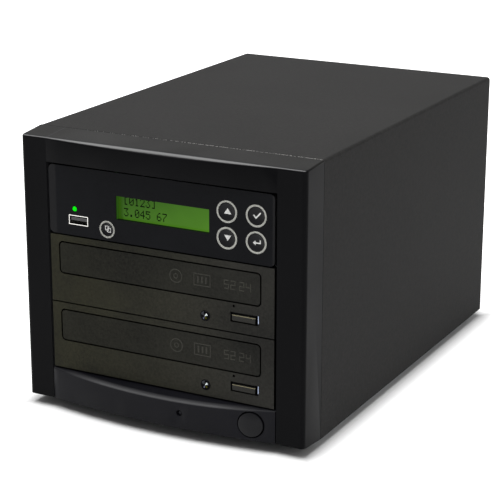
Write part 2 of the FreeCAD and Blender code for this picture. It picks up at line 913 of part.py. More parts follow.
def usb_tongue():
    """The socket's plastic block and tongue, with four contacts under the tongue."""
    front = face_y - port_proud
    root = front + tongue_sunk + tongue_length
    block = port_block(-port_wall, (root, front + port_length))
    tongue_top = port_z + port_height / 2 - port_wall - tongue_height / 2
    tongue = box((port_x - tongue_width / 2, port_x + tongue_width / 2), (front + tongue_sunk, root),
                 (tongue_top - tongue_height, tongue_top))
    contacts = []
    for place in range(contact_count):
        middle = port_x + (place - (contact_count - 1) / 2) * contact_pitch
        contacts.append(box((middle - contact_width / 2, middle + contact_width / 2),
                            (root - contact_length, root),
                            (tongue_top - tongue_height - contact_thickness, tongue_top - tongue_height)))
    return fuse([block, tongue] + contacts)


def key_cap(x, rise, hole_radius):
    """A round key with a shallow dish, a flange behind the plate and a short stem."""
    at = Vector(x, 0, panel_z + rise)
    front = face_y + key_sunk
    radius = hole_radius - key_side_gap
    flange_front = face_y + plate_thickness + running_gap
    flange_back = flange_front + key_flange_thickness
    stem_end = board_y - tact_height - tact_plunger_height - key_travel - running_gap
    cap = rod(radius, at + along_y(front), at + along_y(flange_back))
    rim = [edge for edge in cap.Edges if edge.BoundBox.YMax < flange_front]
    cap = cap.makeFillet(key_edge_radius, rim)
    flange = rod(hole_radius + key_flange_grip, at + along_y(flange_front), at + along_y(flange_back))
    stem = rod(key_stem_radius, at + along_y(flange_back), at + along_y(stem_end))
    return fuse([cap, flange, stem])


def display_frame():
    """The folded metal frame that holds the display glass behind the window."""
    half_x, half_z = display_frame_width / 2, display_frame_height / 2
    front = face_y + plate_thickness
    block = box((window_x - half_x, window_x + half_x), (front, board_y),
                (window_z - half_z, window_z + half_z))
    inner_x, inner_z = half_x - display_frame_wall, half_z - display_frame_wall
    hollow = box((window_x - inner_x, window_x + inner_x), (front + display_frame_wall, board_y + cut_over),
                 (window_z - inner_z, window_z + inner_z))
    view_x, view_z = half_x - display_frame_lip, half_z - display_frame_lip - display_frame_wall
    view = box((window_x - view_x, window_x + view_x), (front - cut_over, front + cut_over),
               (window_z - view_z, window_z + view_z))
    return block.cut([hollow, view])


def display_glass():
    """The glass sandwich with its light block behind, down to the board."""
    half_x = display_frame_width / 2 - display_frame_wall - drop_gap
    half_z = display_frame_height / 2 - display_frame_wall - drop_gap
    front = face_y + plate_thickness + display_frame_wall
    glass = box((window_x - half_x, window_x + half_x), (front, front + display_glass_thickness),
                (window_z - half_z, window_z + half_z))
    light = box((window_x - half_x + drop_gap, window_x + half_x - drop_gap),
                (front + display_glass_thickness, board_y),
                (window_z - half_z + drop_gap, window_z + half_z - drop_gap))
    return fuse([glass, light])


def panel_board():
    """The board behind the panel with a key switch behind each key."""
    board = box(both_sides(board_half), (board_y, board_y + board_thickness), (board_low_z, board_high_z))
    tools = [port_block(drop_gap, (board_y - cut_over, board_y + board_thickness + cut_over))]
    for x, z in boss_places:
        tools.append(rod(boss_hole_radius, Vector(x, board_y - cut_over, z),
                         Vector(x, board_y + board_thickness + cut_over, z)))
    pieces = [board.cut(tools)]
    for x, rise, _ in keys.values():
        z = panel_z + rise
        body = box((x - tact_size / 2, x + tact_size / 2), (board_y - tact_height, board_y),
                   (z - tact_size / 2, z + tact_size / 2))
        plunger = rod(tact_plunger_radius, Vector(x, board_y - tact_height - tact_plunger_height, z),
                      Vector(x, board_y - tact_height, z))
        pieces.append(fuse([body, plunger]))
    back = board_y + board_thickness
    header = box((window_x - header_width / 2, window_x + header_width / 2), (back, back + header_depth),
                 (window_z - header_height / 2, window_z + header_height / 2))
    pieces.append(header)
    return Part.Compound(pieces)


# Optical drives

def drive_front(bay_z):
    """The moulded front of a drive with its openings for tray, button, lens and pin."""
    base = bay_z + drive_lift
    zs = (bay_z + drive_seam / 2, bay_z + bay_pitch - drive_seam / 2)
    block = box(both_sides(bay_width / 2), (face_y, face_y + drive_front_depth), zs)
    pocket = box(both_sides(bay_width / 2 - moulded_wall),
                 (face_y + moulded_wall, face_y + drive_front_depth + cut_over),
                 (zs[0] + moulded_wall, zs[1] - moulded_wall))
    through = (face_y - cut_over, face_y + moulded_wall + cut_over)
    tray_hole = rounded_box((tray_front_left - tray_front_gap, tray_front_right + tray_front_gap), through,
                            (base + tray_front_low - tray_front_gap, base + tray_front_high + tray_front_gap),
                            tray_front_corner + tray_front_gap, Vector(0, 1, 0))
    eject_hole = box((eject_left, eject_right), through, (base + eject_low, base + eject_high))
    lens_hole = rod(lens_radius + snug_gap, Vector(lens_x, through[0], base + lens_rise),
                    Vector(lens_x, through[1], base + lens_rise))
    pinhole = rod(pinhole_radius, Vector(pinhole_x, through[0], base + pinhole_rise),
                  Vector(pinhole_x, through[1], base + pinhole_rise))
    return block.cut([pocket, tray_hole, eject_hole, lens_hole, pinhole])


def drive_screw_places(bay_z):
    """Where the bracket screws enter each side of a drive."""
    z = bay_z + drive_lift + drive_screw_rise
    return [(face_y + drive_screw_first + drive_screw_pitch * place, z) for place in range(2)]


def drive_case(bay_z):
    """The folded steel case of a drive, open in front and on top, with openings for the connectors behind."""
    base = bay_z + drive_lift
    half = drive_width / 2
    ys = (face_y + drive_front_depth, drive_back_y)
    top = base + drive_height - thin_sheet
    block = box(both_sides(half), ys, (base, top))
    hollow = box(both_sides(half - thin_sheet), (ys[0] - cut_over, ys[1] - thin_sheet),
                 (base + thin_sheet, top + cut_over))
    tools = [hollow]
    for left, right in connector_limits():
        tools.append(box((left - snug_gap, right + snug_gap),
                         (ys[1] - thin_sheet - cut_over, ys[1] + cut_over),
                         (board_top(base) - snug_gap, board_top(base) + sata_height + snug_gap)))
    for y, z in drive_screw_places(bay_z):
        tools.append(rod(screw_radius + shaft_gap, Vector(-half - cut_over, y, z),
                         Vector(half + cut_over, y, z)))
    body = block.cut(tools)
    posts = []
    for x in both_sides(half - drive_board_margin - controller_standoff_radius):
        board_end = drive_board_start + drive_board_length
        for y in (drive_board_start + controller_margin, board_end - controller_margin):
            posts.append(rod(controller_standoff_radius, Vector(x, face_y + y, base),
                             Vector(x, face_y + y, base + thin_sheet + drive_board_rise)))
    return fuse([body] + posts)


def connector_limits():
    """Left and right limits of the two connectors at the back of a drive."""
    first = sata_width / 2
    return [(first, first + sata_width), (-first - sata_width, -first)]


def board_top(base):
    return base + thin_sheet + drive_board_rise + board_thickness


def drive_lid(bay_z):
    """The lid of a drive with a flange inside each side wall."""
    half = drive_width / 2
    ys = (face_y + drive_front_depth, drive_back_y)
    top = bay_z + drive_lift + drive_height
    plate = box(both_sides(half), ys, (top - thin_sheet, top))
    flanges = []
    for side in (-1, 1):
        outer = side * (half - thin_sheet)
        flanges.append(box((outer, outer - side * thin_sheet), (ys[0], ys[1] - thin_sheet),
                           (top - thin_sheet - lid_flange, top - thin_sheet)))
    return fuse([plate] + flanges)


def rack_teeth(low, high, first_y, last_y):
    """A toothed rib along the tray, its teeth pointing at the gear; a gap faces the gear at rest."""
    pitch = math.pi * gear_module
    thick = (pitch - gear_backlash) / 2
    root_x = rack_pitch_line - gear_dedendum
    tip_x = rack_pitch_line + gear_addendum
    root_half = thick / 2 + gear_dedendum * gear_slant
    tip_half = thick / 2 - gear_addendum * gear_slant
    middle_y = face_y + gear_y
    first = math.ceil((first_y - middle_y + root_half - pitch / 2) / pitch)
    last = math.floor((last_y - middle_y - root_half - pitch / 2) / pitch)
    points = [Vector(root_x - rack_rib, first_y, low), Vector(root_x, first_y, low)]
    for place in range(first, last + 1):
        y = middle_y + place * pitch + pitch / 2
        points += [Vector(root_x, y - root_half, low), Vector(tip_x, y - tip_half, low),
                   Vector(tip_x, y + tip_half, low), Vector(root_x, y + root_half, low)]
    points += [Vector(root_x, last_y, low), Vector(root_x - rack_rib, last_y, low)]
    return prism(points, along_z(high - low))


def tray(bay_z):
    """The disc tray: a skin with a stepped round recess, a hole for the traverse, and a rack below."""
    base = bay_z + drive_lift
    low, high = base + tray_floor_low, base + tray_rim_high
    start = face_y + tray_front_depth
    end = start + tray_length
    middle = Vector(tray_middle_x, face_y + disc_middle, 0)
    xs = (tray_middle_x - tray_half, tray_middle_x + tray_half)
    block = box(xs, (start, end), (low, high))
    floor_top = low + tray_floor
    keep = rod(disc_recess_radius + tray_floor, middle + along_z(low - cut_over), middle + along_z(high))
    hollow = box((xs[0] + tray_rim_edge, xs[1] - tray_rim_edge), (start + tray_rim_edge, end - tray_rim_edge),
                 (low - cut_over, high - tray_floor)).cut(keep)
    body = fuse([block.cut(hollow), rack_teeth(low - rack_depth, low + snug_gap, start, end),
                 box((rack_pitch_line - gear_dedendum - rack_rib, rack_pitch_line - gear_dedendum),
                     (start, end), (low, high - tray_floor))])
    tools = [rod(disc_recess_radius, middle + along_z(floor_top), middle + along_z(high + cut_over)),
             rod(small_recess_radius, middle + along_z(floor_top - disc_step), middle + along_z(high)),
             rod(tray_hole_radius, middle + along_z(low - cut_over), middle + along_z(high)),
             box((tray_middle_x - tray_slot_width / 2, tray_middle_x + tray_slot_width / 2),
                 (middle.y, middle.y + tray_slot_length), (low - cut_over, high))]
    return body.cut(tools)


def tray_front(bay_z):
    """The tray's front plate, flush with the drive's front."""
    base = bay_z + drive_lift
    return rounded_box((tray_front_left, tray_front_right), (face_y, face_y + tray_front_depth),
                       (base + tray_front_low, base + tray_front_high), tray_front_corner, Vector(0, 1, 0))


def eject_button(bay_z):
    """The eject button with a bevelled top edge and a retaining flange."""
    base = bay_z + drive_lift
    left = eject_left + eject_gap
    right = left + eject_cap_width
    low, high = base + eject_low + eject_gap, base + eject_high - eject_top_gap
    front = face_y + eject_sunk
    back = front + eject_cap_depth
    cap = box((left, right), (front, back), (low, high))
    bevel = prism([Vector(left - cut_over, front - cut_over, high + cut_over),
                   Vector(left - cut_over, front + eject_bevel + cut_over, high + cut_over),
                   Vector(left - cut_over, front - cut_over, high - eject_bevel - cut_over)],
                  along_x(right - left + 2 * cut_over))
    flange_front = face_y + moulded_wall + running_gap
    flange = box((eject_left - eject_flange_step, right - eject_flange_step),
                 (flange_front, flange_front + eject_flange_thickness),
                 (base + eject_low - eject_flange_step, base + eject_high + eject_flange_step))
    return fuse([cap.cut(bevel), flange])


def drive_lenses():
    """The round clear lens and the narrow light window beside the button, for each drive."""
    pieces = []
    for bay_z in bay_floors:
        base = bay_z + drive_lift
        at = Vector(lens_x, 0, base + lens_rise)
        body = rod(lens_radius, at + along_y(face_y - lens_proud), at + along_y(face_y + lens_depth))
        rim = [edge for edge in body.Edges if edge.BoundBox.YMax < face_y]
        pieces.append(body.makeFillet(lens_proud, rim))
        right = eject_right - snug_gap
        pieces.append(box((right - light_width, right),
                          (face_y + light_sunk, face_y + light_sunk + light_depth),
                          (base + eject_low + snug_gap, base + eject_high - snug_gap)))
    return Part.Compound(pieces)


def loader_frame(bay_z):
    """The moulded frame in a drive: rails that hold the tray's edges, cross members, bearings and a pin."""
    base = bay_z + drive_lift
    floor = base + thin_sheet
    start = face_y + drive_front_depth + running_gap
    end = start + rail_length
    ledge_top = base + tray_floor_low - running_gap
    lip_low = base + tray_rim_high + running_gap
    top = lip_low + rail_lip_thickness
    pieces = []
    inner_limits = []
    for side in (-1, 1):
        inner = tray_middle_x + side * (tray_half + running_gap)
        outer = side * (drive_width / 2 - thin_sheet - drop_gap)
        inner_limits.append(inner)
        pieces.append(box((inner, outer), (start, end), (floor, top)))
        pieces.append(box((inner, inner - side * rail_ledge), (start, end),
                          (ledge_top - rail_lip_thickness, ledge_top)))
        pieces.append(box((inner, inner - side * rail_lip), (start, end), (lip_low, top)))
    front_ys = (start + cross_start, start + cross_start + cross_depth)
    pieces.append(box(inner_limits, front_ys, (floor, base + traverse_low)))
    rear_ys = (end - rear_cross_depth, end)
    pieces.append(box(inner_limits, rear_ys, (base + rear_cross_low, base + traverse_low)))
    gear_low = base + traverse_low + running_gap
    pieces.append(rod(gear_pin_radius, Vector(gear_x, face_y + gear_y, base + traverse_low),
                      Vector(gear_x, face_y + gear_y, gear_low + gear_thickness)))
    hinge_y, hinge_z = hinge_place(bay_z)
    bearings = []
    pins = []
    for side in (-1, 1):
        inner = tray_middle_x + side * (traverse_width / 2 + bearing_gap)
        outer = inner + side * bearing_width
        bearings.append(box((inner, outer), (hinge_y - bearing_length / 2, rear_ys[1]),
                            (hinge_z - bearing_height / 2, hinge_z + bearing_height / 2)))
        pins.append(rod(traverse_pin_radius + shaft_gap, Vector(inner - side * cut_over, hinge_y, hinge_z),
                        Vector(outer + side * cut_over, hinge_y, hinge_z)))
    return fuse(pieces + bearings).cut(pins)


def hinge_place(bay_z):
    """Depth and height of the line about which the traverse lifts."""
    deck_low = bay_z + drive_lift + traverse_low
    return face_y + disc_middle + traverse_rear - 2 * traverse_pin_radius, deck_low + traverse_sheet / 2


def lowered(shape, bay_z):
    """A shape of the traverse, drawn level in its working place, turned down about the hinge to its rest."""
    hinge_y, hinge_z = hinge_place(bay_z)
    shape.rotate(Vector(0, hinge_y, hinge_z), Vector(1, 0, 0), traverse_drop_angle)
    return shape


def traverse(bay_z):
    """The deck that carries motor and guide rods, on two hinge pins at its rear."""
    low = bay_z + drive_lift + traverse_low
    top = low + traverse_sheet
    disc_y = face_y + disc_middle
    half = traverse_width / 2
    hinge_y, hinge_z = hinge_place(bay_z)
    deck = box((tray_middle_x - half, tray_middle_x + half),
               (disc_y - traverse_front, disc_y + traverse_rear), (low, top))
    rod_front, rod_rear = rod_limits()
    window = box((tray_middle_x - traverse_window_width / 2, tray_middle_x + traverse_window_width / 2),
                 (rod_front, rod_rear), (low - cut_over, top + cut_over))
    pieces = [deck.cut(window)]
    rods = []
    for side in (-1, 1):
        x = tray_middle_x + side * guide_rod_x
        for first, last in ((rod_front - guide_ear, rod_front), (rod_rear, rod_rear + guide_ear)):
            pieces.append(box((x - guide_ear / 2, x + guide_ear / 2), (first, last),
                              (hinge_z - guide_ear_down, hinge_z + guide_ear_up)))
        rods.append(rod(guide_rod_radius, Vector(x, rod_front, hinge_z), Vector(x, rod_rear, hinge_z)))
        edge = tray_middle_x + side * half
        pieces.append(rod(traverse_pin_radius, Vector(edge - side * traverse_pin_length, hinge_y, hinge_z),
                          Vector(edge + side * traverse_pin_length, hinge_y, hinge_z)))
    at = Vector(tray_middle_x, disc_y, top)
    motor = rod(motor_radius, at, at + along_z(motor_height))
    bore = rod(motor_shaft_radius + shaft_gap, at + along_z(motor_height - shaft_depth - running_gap),
               at + along_z(motor_height + cut_over))
    return lowered(Part.Compound([fuse(pieces), motor.cut(bore)] + rods), bay_z)


def rod_limits():
    """Front and rear ends of the guide rods."""
    disc_y = face_y + disc_middle
    front = disc_y + sled_rest - sled_length / 2 - running_gap
    return front, disc_y + traverse_rear - guide_ear - running_gap


def turntable(bay_z):
    """The turntable with its centring cone and shaft."""
    motor_top = bay_z + drive_lift + traverse_low + traverse_sheet + motor_height
    at = Vector(tray_middle_x, face_y + disc_middle, motor_top + turntable_lift)
    plate = rod(turntable_radius, at, at + along_z(turntable_thickness))
    hub = cone(hub_radius, hub_top_radius, at + along_z(turntable_thickness),
               at + along_z(turntable_thickness + hub_height))
    shaft = rod(motor_shaft_radius, at - along_z(turntable_lift + shaft_depth), at)
    return lowered(fuse([plate, hub, shaft]), bay_z)


def laser_sled(bay_z):
    """The sled on the two guide rods, with the round objective on a raised middle."""
    middle = Vector(tray_middle_x, face_y + disc_middle + sled_rest, hinge_place(bay_z)[1])
    body = box_about(middle, sled_width, sled_length, (-sled_height / 2, sled_height / 2))
    tower = box_about(middle, tower_width, tower_length, (0, tower_rise))
    bores = []
    for side in (-1, 1):
        at = middle + along_x(side * guide_rod_x)
        bores.append(rod(guide_rod_radius + shaft_gap, at - along_y(sled_length), at + along_y(sled_length)))
    objective = rod(objective_radius, middle + along_z(tower_rise),
                    middle + along_z(tower_rise + objective_height))
    return lowered(fuse([body.cut(bores), tower, objective]), bay_z)


def box_about(middle, width, length, heights):
    """A block centred on a point in plan, between two heights over it."""
    return box((middle.x - width / 2, middle.x + width / 2), (middle.y - length / 2, middle.y + length / 2),
               (middle.z + heights[0], middle.z + heights[1]))


def loading_gear(bay_z):
    """The toothed wheel on the loader frame's pin that drives the tray's rack."""
    low = bay_z + drive_lift + traverse_low + running_gap
    thick = (math.pi * gear_module - gear_backlash) / 2
    root = gear_pitch_radius - gear_dedendum
    tip = gear_pitch_radius + gear_addendum
    stations = ((root, thick / 2 + gear_dedendum * gear_slant), (tip, thick / 2 - gear_addendum * gear_slant))
    points = []
    for tooth in range(gear_teeth):
        middle = math.pi + 2 * math.pi * tooth / gear_teeth
        for radius, half in stations:
            points.append((radius, middle - half / radius))
        for radius, half in reversed(stations):
            points.append((radius, middle + half / radius))
    centre = Vector(gear_x, face_y + gear_y, low)
    outline = [centre + Vector(radius * math.cos(turn), radius * math.sin(turn), 0)
               for radius, turn in points]
    wheel = prism(outline, along_z(gear_thickness))
    bore = rod(gear_pin_radius + shaft_gap, centre - along_z(cut_over),
               centre + along_z(gear_thickness + cut_over))
    return wheel.cut(bore)


def disc_clamps():
    """The clamp bridge across each drive with its loose puck."""
    pieces = []
    for bay_z in bay_floors:
        rail_top = bay_z + drive_lift + tray_rim_high + running_gap + rail_lip_thickness
        low = rail_top + clamp_rise
        ys = (face_y + disc_middle - clamp_width / 2, face_y + disc_middle + clamp_width / 2)
        outer = drive_width / 2 - 2 * thin_sheet - drop_gap
        bridge = [box(both_sides(outer), ys, (low, low + sheet))]
        for side in (-1, 1):
            bridge.append(box((side * outer, side * (outer - clamp_leg)), ys, (rail_top, low)))
        at = Vector(tray_middle_x, face_y + disc_middle, 0)
        hole = rod(clamp_hole_radius, at + along_z(low - cut_over), at + along_z(low + sheet + cut_over))
        pieces.append(fuse(bridge).cut(hole))
        cap_low = low + sheet + running_gap
        puck_top = low - running_gap
        cap = rod(puck_cap_radius, at + along_z(cap_low), at + along_z(cap_low + puck_thickness))
        neck = rod(clamp_hole_radius - clamp_neck_gap, at + along_z(puck_top), at + along_z(cap_low))
        disc = rod(puck_radius, at + along_z(puck_top - puck_thickness), at + along_z(puck_top))
        socket_top = puck_top - puck_roof
        socket = rod(hub_radius + running_gap, at + along_z(puck_top - puck_thickness - cut_over),
                     at + along_z(socket_top))
        pieces.append(fuse([cap, neck, disc]).cut(socket))
    return Part.Compound(pieces)


def drive_boards():
    """The board under each traverse with its chip and the two connectors at the back."""
    pieces = []
    for bay_z in bay_floors:
        base = bay_z + drive_lift
        top = board_top(base)
        half = drive_width / 2 - drive_board_margin
        ys = (face_y + drive_board_start, face_y + drive_board_start + drive_board_length)
        pieces.append(box(both_sides(half), ys, (top - board_thickness, top)))
        middle = (ys[0] + ys[1]) / 2
        pieces.append(box_about(Vector(0, middle, top), small_chip_size, small_chip_size,
                                (0, small_chip_height)))
        for limits in connector_limits():
            pieces.append(box(limits, (drive_back_y - sata_depth, drive_back_y), (top, top + sata_height)))
    return Part.Compound(pieces)


# Case and chassis

def base_pan():
    """The floor of the case with a flange up each side and air slots."""
    plate = box(both_sides(chassis_half), (frame_back_y, rear_panel_y), (floor_z, deck_z))
    pieces = [plate]
    for side in (-1, 1):
        outer = side * chassis_half
        pieces.append(box((outer, outer - side * sheet), (frame_back_y, rear_panel_y),
                          (floor_z, deck_z + pan_flange)))
    vent_start = (frame_back_y + rear_panel_y) / 2 + vent_length / 2
    tools = slots(0, vent_start, floor_z, Vector(1, 0, 0), Vector(0, 1, 0), along_z(sheet))
    for x, y in foot_places():
        tools.append(rod(screw_radius + shaft_gap, Vector(x, y, floor_z - cut_over),
                         Vector(x, y, deck_z + cut_over)))
    return fuse(pieces).cut(tools)


def slots(x, y, z, step, way, through):
    """A row of air slots centred on a place; each runs along way, and through cuts the sheet."""
    tools = []
    lead = Vector(through).normalize() * cut_over
    for place in range(vent_count):
        shift = step * ((place - (vent_count - 1) / 2) * vent_pitch)
        side = step * (vent_width / 2)
        half = way * (vent_length / 2)
        middle = Vector(x, y, z) + shift - lead
        corners = [middle - side - half, middle + side - half, middle + side + half, middle - side + half]
        tools.append(prism(corners, through + lead + lead))
    return tools


def front_frame():
    """The steel frame behind the bezel: the bays' opening, slots for the hooks, a window for the switch."""
    ys = (seam_y, frame_back_y)
    through = (seam_y - cut_over, frame_back_y + cut_over)
    plate = box(both_sides(chassis_half), ys, (floor_z, chassis_top_z))
    tools = [box(both_sides(opening_half), through, (opening_floor_z, opening_top_z))]
    half_x, half_z = switch_width / 2 + switch_lug, switch_height / 2 + switch_lug
    tools.append(box((button_x - half_x, button_x + half_x), through, (button_z - half_z, button_z + half_z)))
    for share in hook_height_shares:
        middle = floor_z + case_height * share
        for side in (-1, 1):
            outer = side * (chassis_half - hook_inset + drop_gap)
            inner = side * (chassis_half - hook_inset - hook_width - drop_gap)
            half = hook_height / 2 + drop_gap
            tools.append(box((inner, outer), through, (middle - half, middle + half)))
    flanges = chassis_flanges(frame_back_y, frame_back_y + flange_depth)
    return rounded_shoulders(fuse([plate.cut(tools)] + flanges))


def rounded_shoulders(plate):
    """A chassis plate whose upper outer corners follow the cover's bend."""
    shoulders = []
    for edge in edges_along(plate, Vector(0, 1, 0)):
        bound = edge.BoundBox
        if bound.ZMin > chassis_top_z - snug_gap and abs(bound.XMin) > chassis_half - snug_gap:
            shoulders.append(edge)
    return plate.makeFillet(cover_bend - sheet - drop_gap, shoulders)


def chassis_flanges(first_y, last_y):
    """Top and side flanges of a chassis plate, just inside the cover."""
    low = deck_z + pan_flange + drop_gap
    pieces = [box(both_sides(chassis_half), (first_y, last_y), (chassis_top_z - sheet, chassis_top_z))]
    for side in (-1, 1):
        outer = side * chassis_half
        pieces.append(box((outer, outer - side * sheet), (first_y, last_y), (low, chassis_top_z)))
    return pieces


def rear_panel():
    """The steel rear panel with openings for supply and fan, air slots and screw holes."""
    through = (rear_panel_y - cut_over, rear_face_y + cut_over)
    plate = box(both_sides(chassis_half), (rear_panel_y, rear_face_y), (floor_z, chassis_top_z))
    half = supply_width / 2 - supply_border
    supply_hole = rounded_box(both_sides(half), through,
                              (deck_z + supply_border, deck_z + supply_height - supply_border), fan_corner,
                              Vector(0, 1, 0))
    fan_hole = rod(fan_duct_radius, Vector(0, through[0], fan_z), Vector(0, through[1], fan_z))
    tools = [supply_hole, fan_hole]
    for x, z in supply_screw_places():
        tools.append(rod(supply_screw_radius, Vector(x, through[0], z), Vector(x, through[1], z)))
    for x, z in fan_screw_places():
        tools.append(rod(fan_hole_radius, Vector(x, through[0], z), Vector(x, through[1], z)))
    for x, z in cover_screw_places():
        tools.append(rod(screw_radius + shaft_gap, Vector(x, through[0], z), Vector(x, through[1], z)))
    middle = (fan_size / 2 + chassis_half) / 2
    for side in (-1, 1):
        tools += slots(side * middle, rear_panel_y, fan_z, Vector(0, 0, 1), Vector(1, 0, 0), along_y(sheet))
    flanges = chassis_flanges(rear_panel_y - flange_depth, rear_panel_y)
    return rounded_shoulders(fuse([plate.cut(tools)] + flanges))


def cover_screw_places():
    places = []
    for share in cover_screw_height_shares:
        for x in both_sides(half_width - cover_screw_inset):
            places.append((x, floor_z + case_height * share))
    return places


def supply_screw_places():
    half = supply_width / 2 - supply_hole_inset / 2
    low = deck_z + supply_hole_inset / 2
    high = deck_z + supply_height - supply_hole_inset / 2
    return [(x, z) for x in both_sides(half) for z in (low, high)]


def fan_screw_places():
    half = fan_hole_spacing / 2
    return [(x, fan_z + z) for x in both_sides(half) for z in both_sides(half)]


def foot_places():
    front, rear = frame_back_y + foot_inset_y, rear_panel_y - foot_inset_y
    return [(x, y) for x in both_sides(half_width - foot_inset_x) for y in (front, rear)]


def cover():
    """The wrap-round sheet: top, two sides and a narrow flange round the back."""
    along = Vector(0, 1, 0)
    start = seam_y + cover_seam
    outer = box(both_sides(half_width), (start, rear_y), (floor_z, top_z))
    upper = [edge for edge in edges_along(outer, along) if edge.BoundBox.ZMin > floor_z + sheet]
    outer = outer.makeFillet(cover_bend, upper)
    inner = box(both_sides(half_width - sheet), (start - cut_over, rear_face_y),
                (floor_z - cut_over, top_z - sheet))
    upper = [edge for edge in edges_along(inner, along) if edge.BoundBox.ZMin > floor_z + sheet]
    inner = inner.makeFillet(cover_bend - sheet, upper)
    rear_hole = box(both_sides(half_width - cover_flange), (rear_face_y - cut_over, rear_y + cut_over),
                    (floor_z - cut_over, top_z - cover_flange))
    tools = [inner, rear_hole]
    for x, z in cover_screw_places():
        tools.append(rod(screw_radius + screw_gap, Vector(x, rear_face_y - cut_over, z),
                         Vector(x, rear_y + cut_over, z)))
    return outer.cut(tools)


def drive_brackets():
    """The two upright plates that carry drives, controller tray and control panel."""
    pieces = []
    ys = (frame_back_y, frame_back_y + bracket_length)
    zs = (deck_z, panel_z + bracket_top_rise)
    for side in (-1, 1):
        inner = side * bracket_half
        outer = side * (bracket_half + sheet)
        plate = box((inner, outer), ys, zs)
        foot = box((outer, outer + side * bracket_foot), ys, (deck_z, deck_z + sheet))
        flange = box((outer, outer + side * bracket_foot), (ys[0], ys[0] + sheet), zs)
        across = (inner - side * cut_over, outer + side * cut_over)
        tools = []
        for bay_z in bay_floors:
            for y, z in drive_screw_places(bay_z):
                tools.append(rod(screw_radius + screw_gap, Vector(across[0], y, z), Vector(across[1], y, z)))
            window_y = face_y + drive_screw_first + drive_screw_pitch / 2
            middle = bay_z + bay_pitch * bracket_window_share
            half_length, half_height = bracket_window_length / 2, bracket_window_height / 2
            tools.append(box(across, (window_y - half_length, window_y + half_length),
                             (middle - half_height, middle + half_height)))
        pieces.append(fuse([plate, foot, flange]).cut(tools))
    return Part.Compound(pieces)


def controller_limits():
    """Front and rear ends of the controller's tray."""
    start = face_y + controller_tray_start
    return start, start + controller_tray_length


def controller_tray():
    """The sheet tray over the drives with four standoffs."""
    start, end = controller_limits()
    low = panel_z + controller_tray_rise
    pieces = [box(both_sides(bracket_half), (start, end), (low, low + sheet))]
    for side in (-1, 1):
        outer = side * bracket_half
        pieces.append(box((outer, outer - side * sheet), (start, end), (low, low + controller_tray_flange)))
    for x, y in standoff_places():
        pieces.append(rod(controller_standoff_radius, Vector(x, y, low),
                          Vector(x, y, low + sheet + controller_standoff_height)))
    return fuse(pieces)


def standoff_places():
    start, end = controller_limits()
    inset = 2 * controller_margin
    return [(x, y) for x in both_sides(bracket_half - inset) for y in (start + inset, end - inset)]


def controller_board_limits():
    """Front, rear and top of the controller board."""
    start, end = controller_limits()
    top = panel_z + controller_tray_rise + sheet + controller_standoff_height + board_thickness
    return start + controller_margin, end - controller_margin, top


def controller_board():
    """The controller board with its processor, memory, connectors and capacitors."""
    front, rear, top = controller_board_limits()
    half = bracket_half - controller_margin
    pieces = [box(both_sides(half), (front, rear), (top - board_thickness, top))]
    middle = Vector(0, (front + rear) / 2, top)
    pieces.append(box_about(middle, chip_size, chip_size, (0, chip_height)))
    for x in both_sides(memory_x):
        pieces.append(box_about(middle + along_x(x), small_chip_size, small_chip_size,
                                (0, small_chip_height)))
    for left, right in connector_limits() + [lead_limits(supply_lead_x), lead_limits(fan_lead_x)]:
        pieces.append(box((left, right), (rear - sata_depth, rear), (top, top + sata_height)))
    for x, width in ((window_x, header_width), (port_x, small_chip_size)):
        pieces.append(box((x - width / 2, x + width / 2), (front, front + header_depth),
                          (top, top + header_height)))
    for side in both_sides(half - 2 * can_radius):
        at = Vector(side, middle.y, top)
        pieces.append(rod(can_radius, at, at + along_z(can_height)))
    return Part.Compound(pieces)


def lead_limits(x):
    """Left and right limits of a narrow connector centred on a lead."""
    return (x - header_depth, x + header_depth)


# Power supply

def power_supply_case():
    """The closed steel box of the supply with its grille and the openings for inlet and switch."""
    half = supply_width / 2
    low, high = deck_z, deck_z + supply_height
    block = box(both_sides(half), (supply_front_y, rear_panel_y), (low, high))
    hollow = box(both_sides(half - thin_sheet), (supply_front_y + thin_sheet, rear_panel_y - thin_sheet),
                 (low + thin_sheet, high - thin_sheet))
    through = (rear_panel_y - thin_sheet - cut_over, rear_panel_y + cut_over)
    tools = [hollow]
    centre = Vector(supply_fan_x, through[0], low + supply_height / 2)
    depth = along_y(through[1] - through[0])
    tools.append(Part.makeCylinder(grille_hole_radius, depth.Length, centre, depth))
    for ring in range(1, grille_rings + 1):
        radius = (supply_fan_radius - grille_hole_radius) * ring / grille_rings
        holes = grille_ring_hole_count * ring
        for place in range(holes):
            turn = 2 * math.pi * place / holes
            at = centre + Vector(radius * math.cos(turn), 0, radius * math.sin(turn))
            tools.append(Part.makeCylinder(grille_hole_radius, depth.Length, at, depth))
    tools.append(inlet_outline(0, through))
    half_x, half_z = rocker_hole_width / 2, rocker_hole_height / 2
    middle = low + rocker_rise
    tools.append(box((inlet_x - half_x, inlet_x + half_x), through, (middle - half_z, middle + half_z)))
    for x, z in supply_screw_places():
        tools.append(rod(supply_screw_radius, Vector(x, through[0], z), Vector(x, through[1], z)))
    body = block.cut(tools)
    posts = []
    for x in both_sides(half - supply_hole_inset):
        for y in (supply_front_y + supply_hole_inset, supply_front_y + supply_board_length):
            posts.append(rod(controller_standoff_radius, Vector(x, y, low),
                             Vector(x, y, low + thin_sheet + controller_standoff_height)))
    return fuse([body] + posts)


def inlet_outline(step, ys):
    """The six-sided outline of the mains socket, larger by a step, between two depths."""
    half_x, half_z = inlet_width / 2 + step, inlet_height / 2 + step
    return six_sided(half_x, half_z, ys)


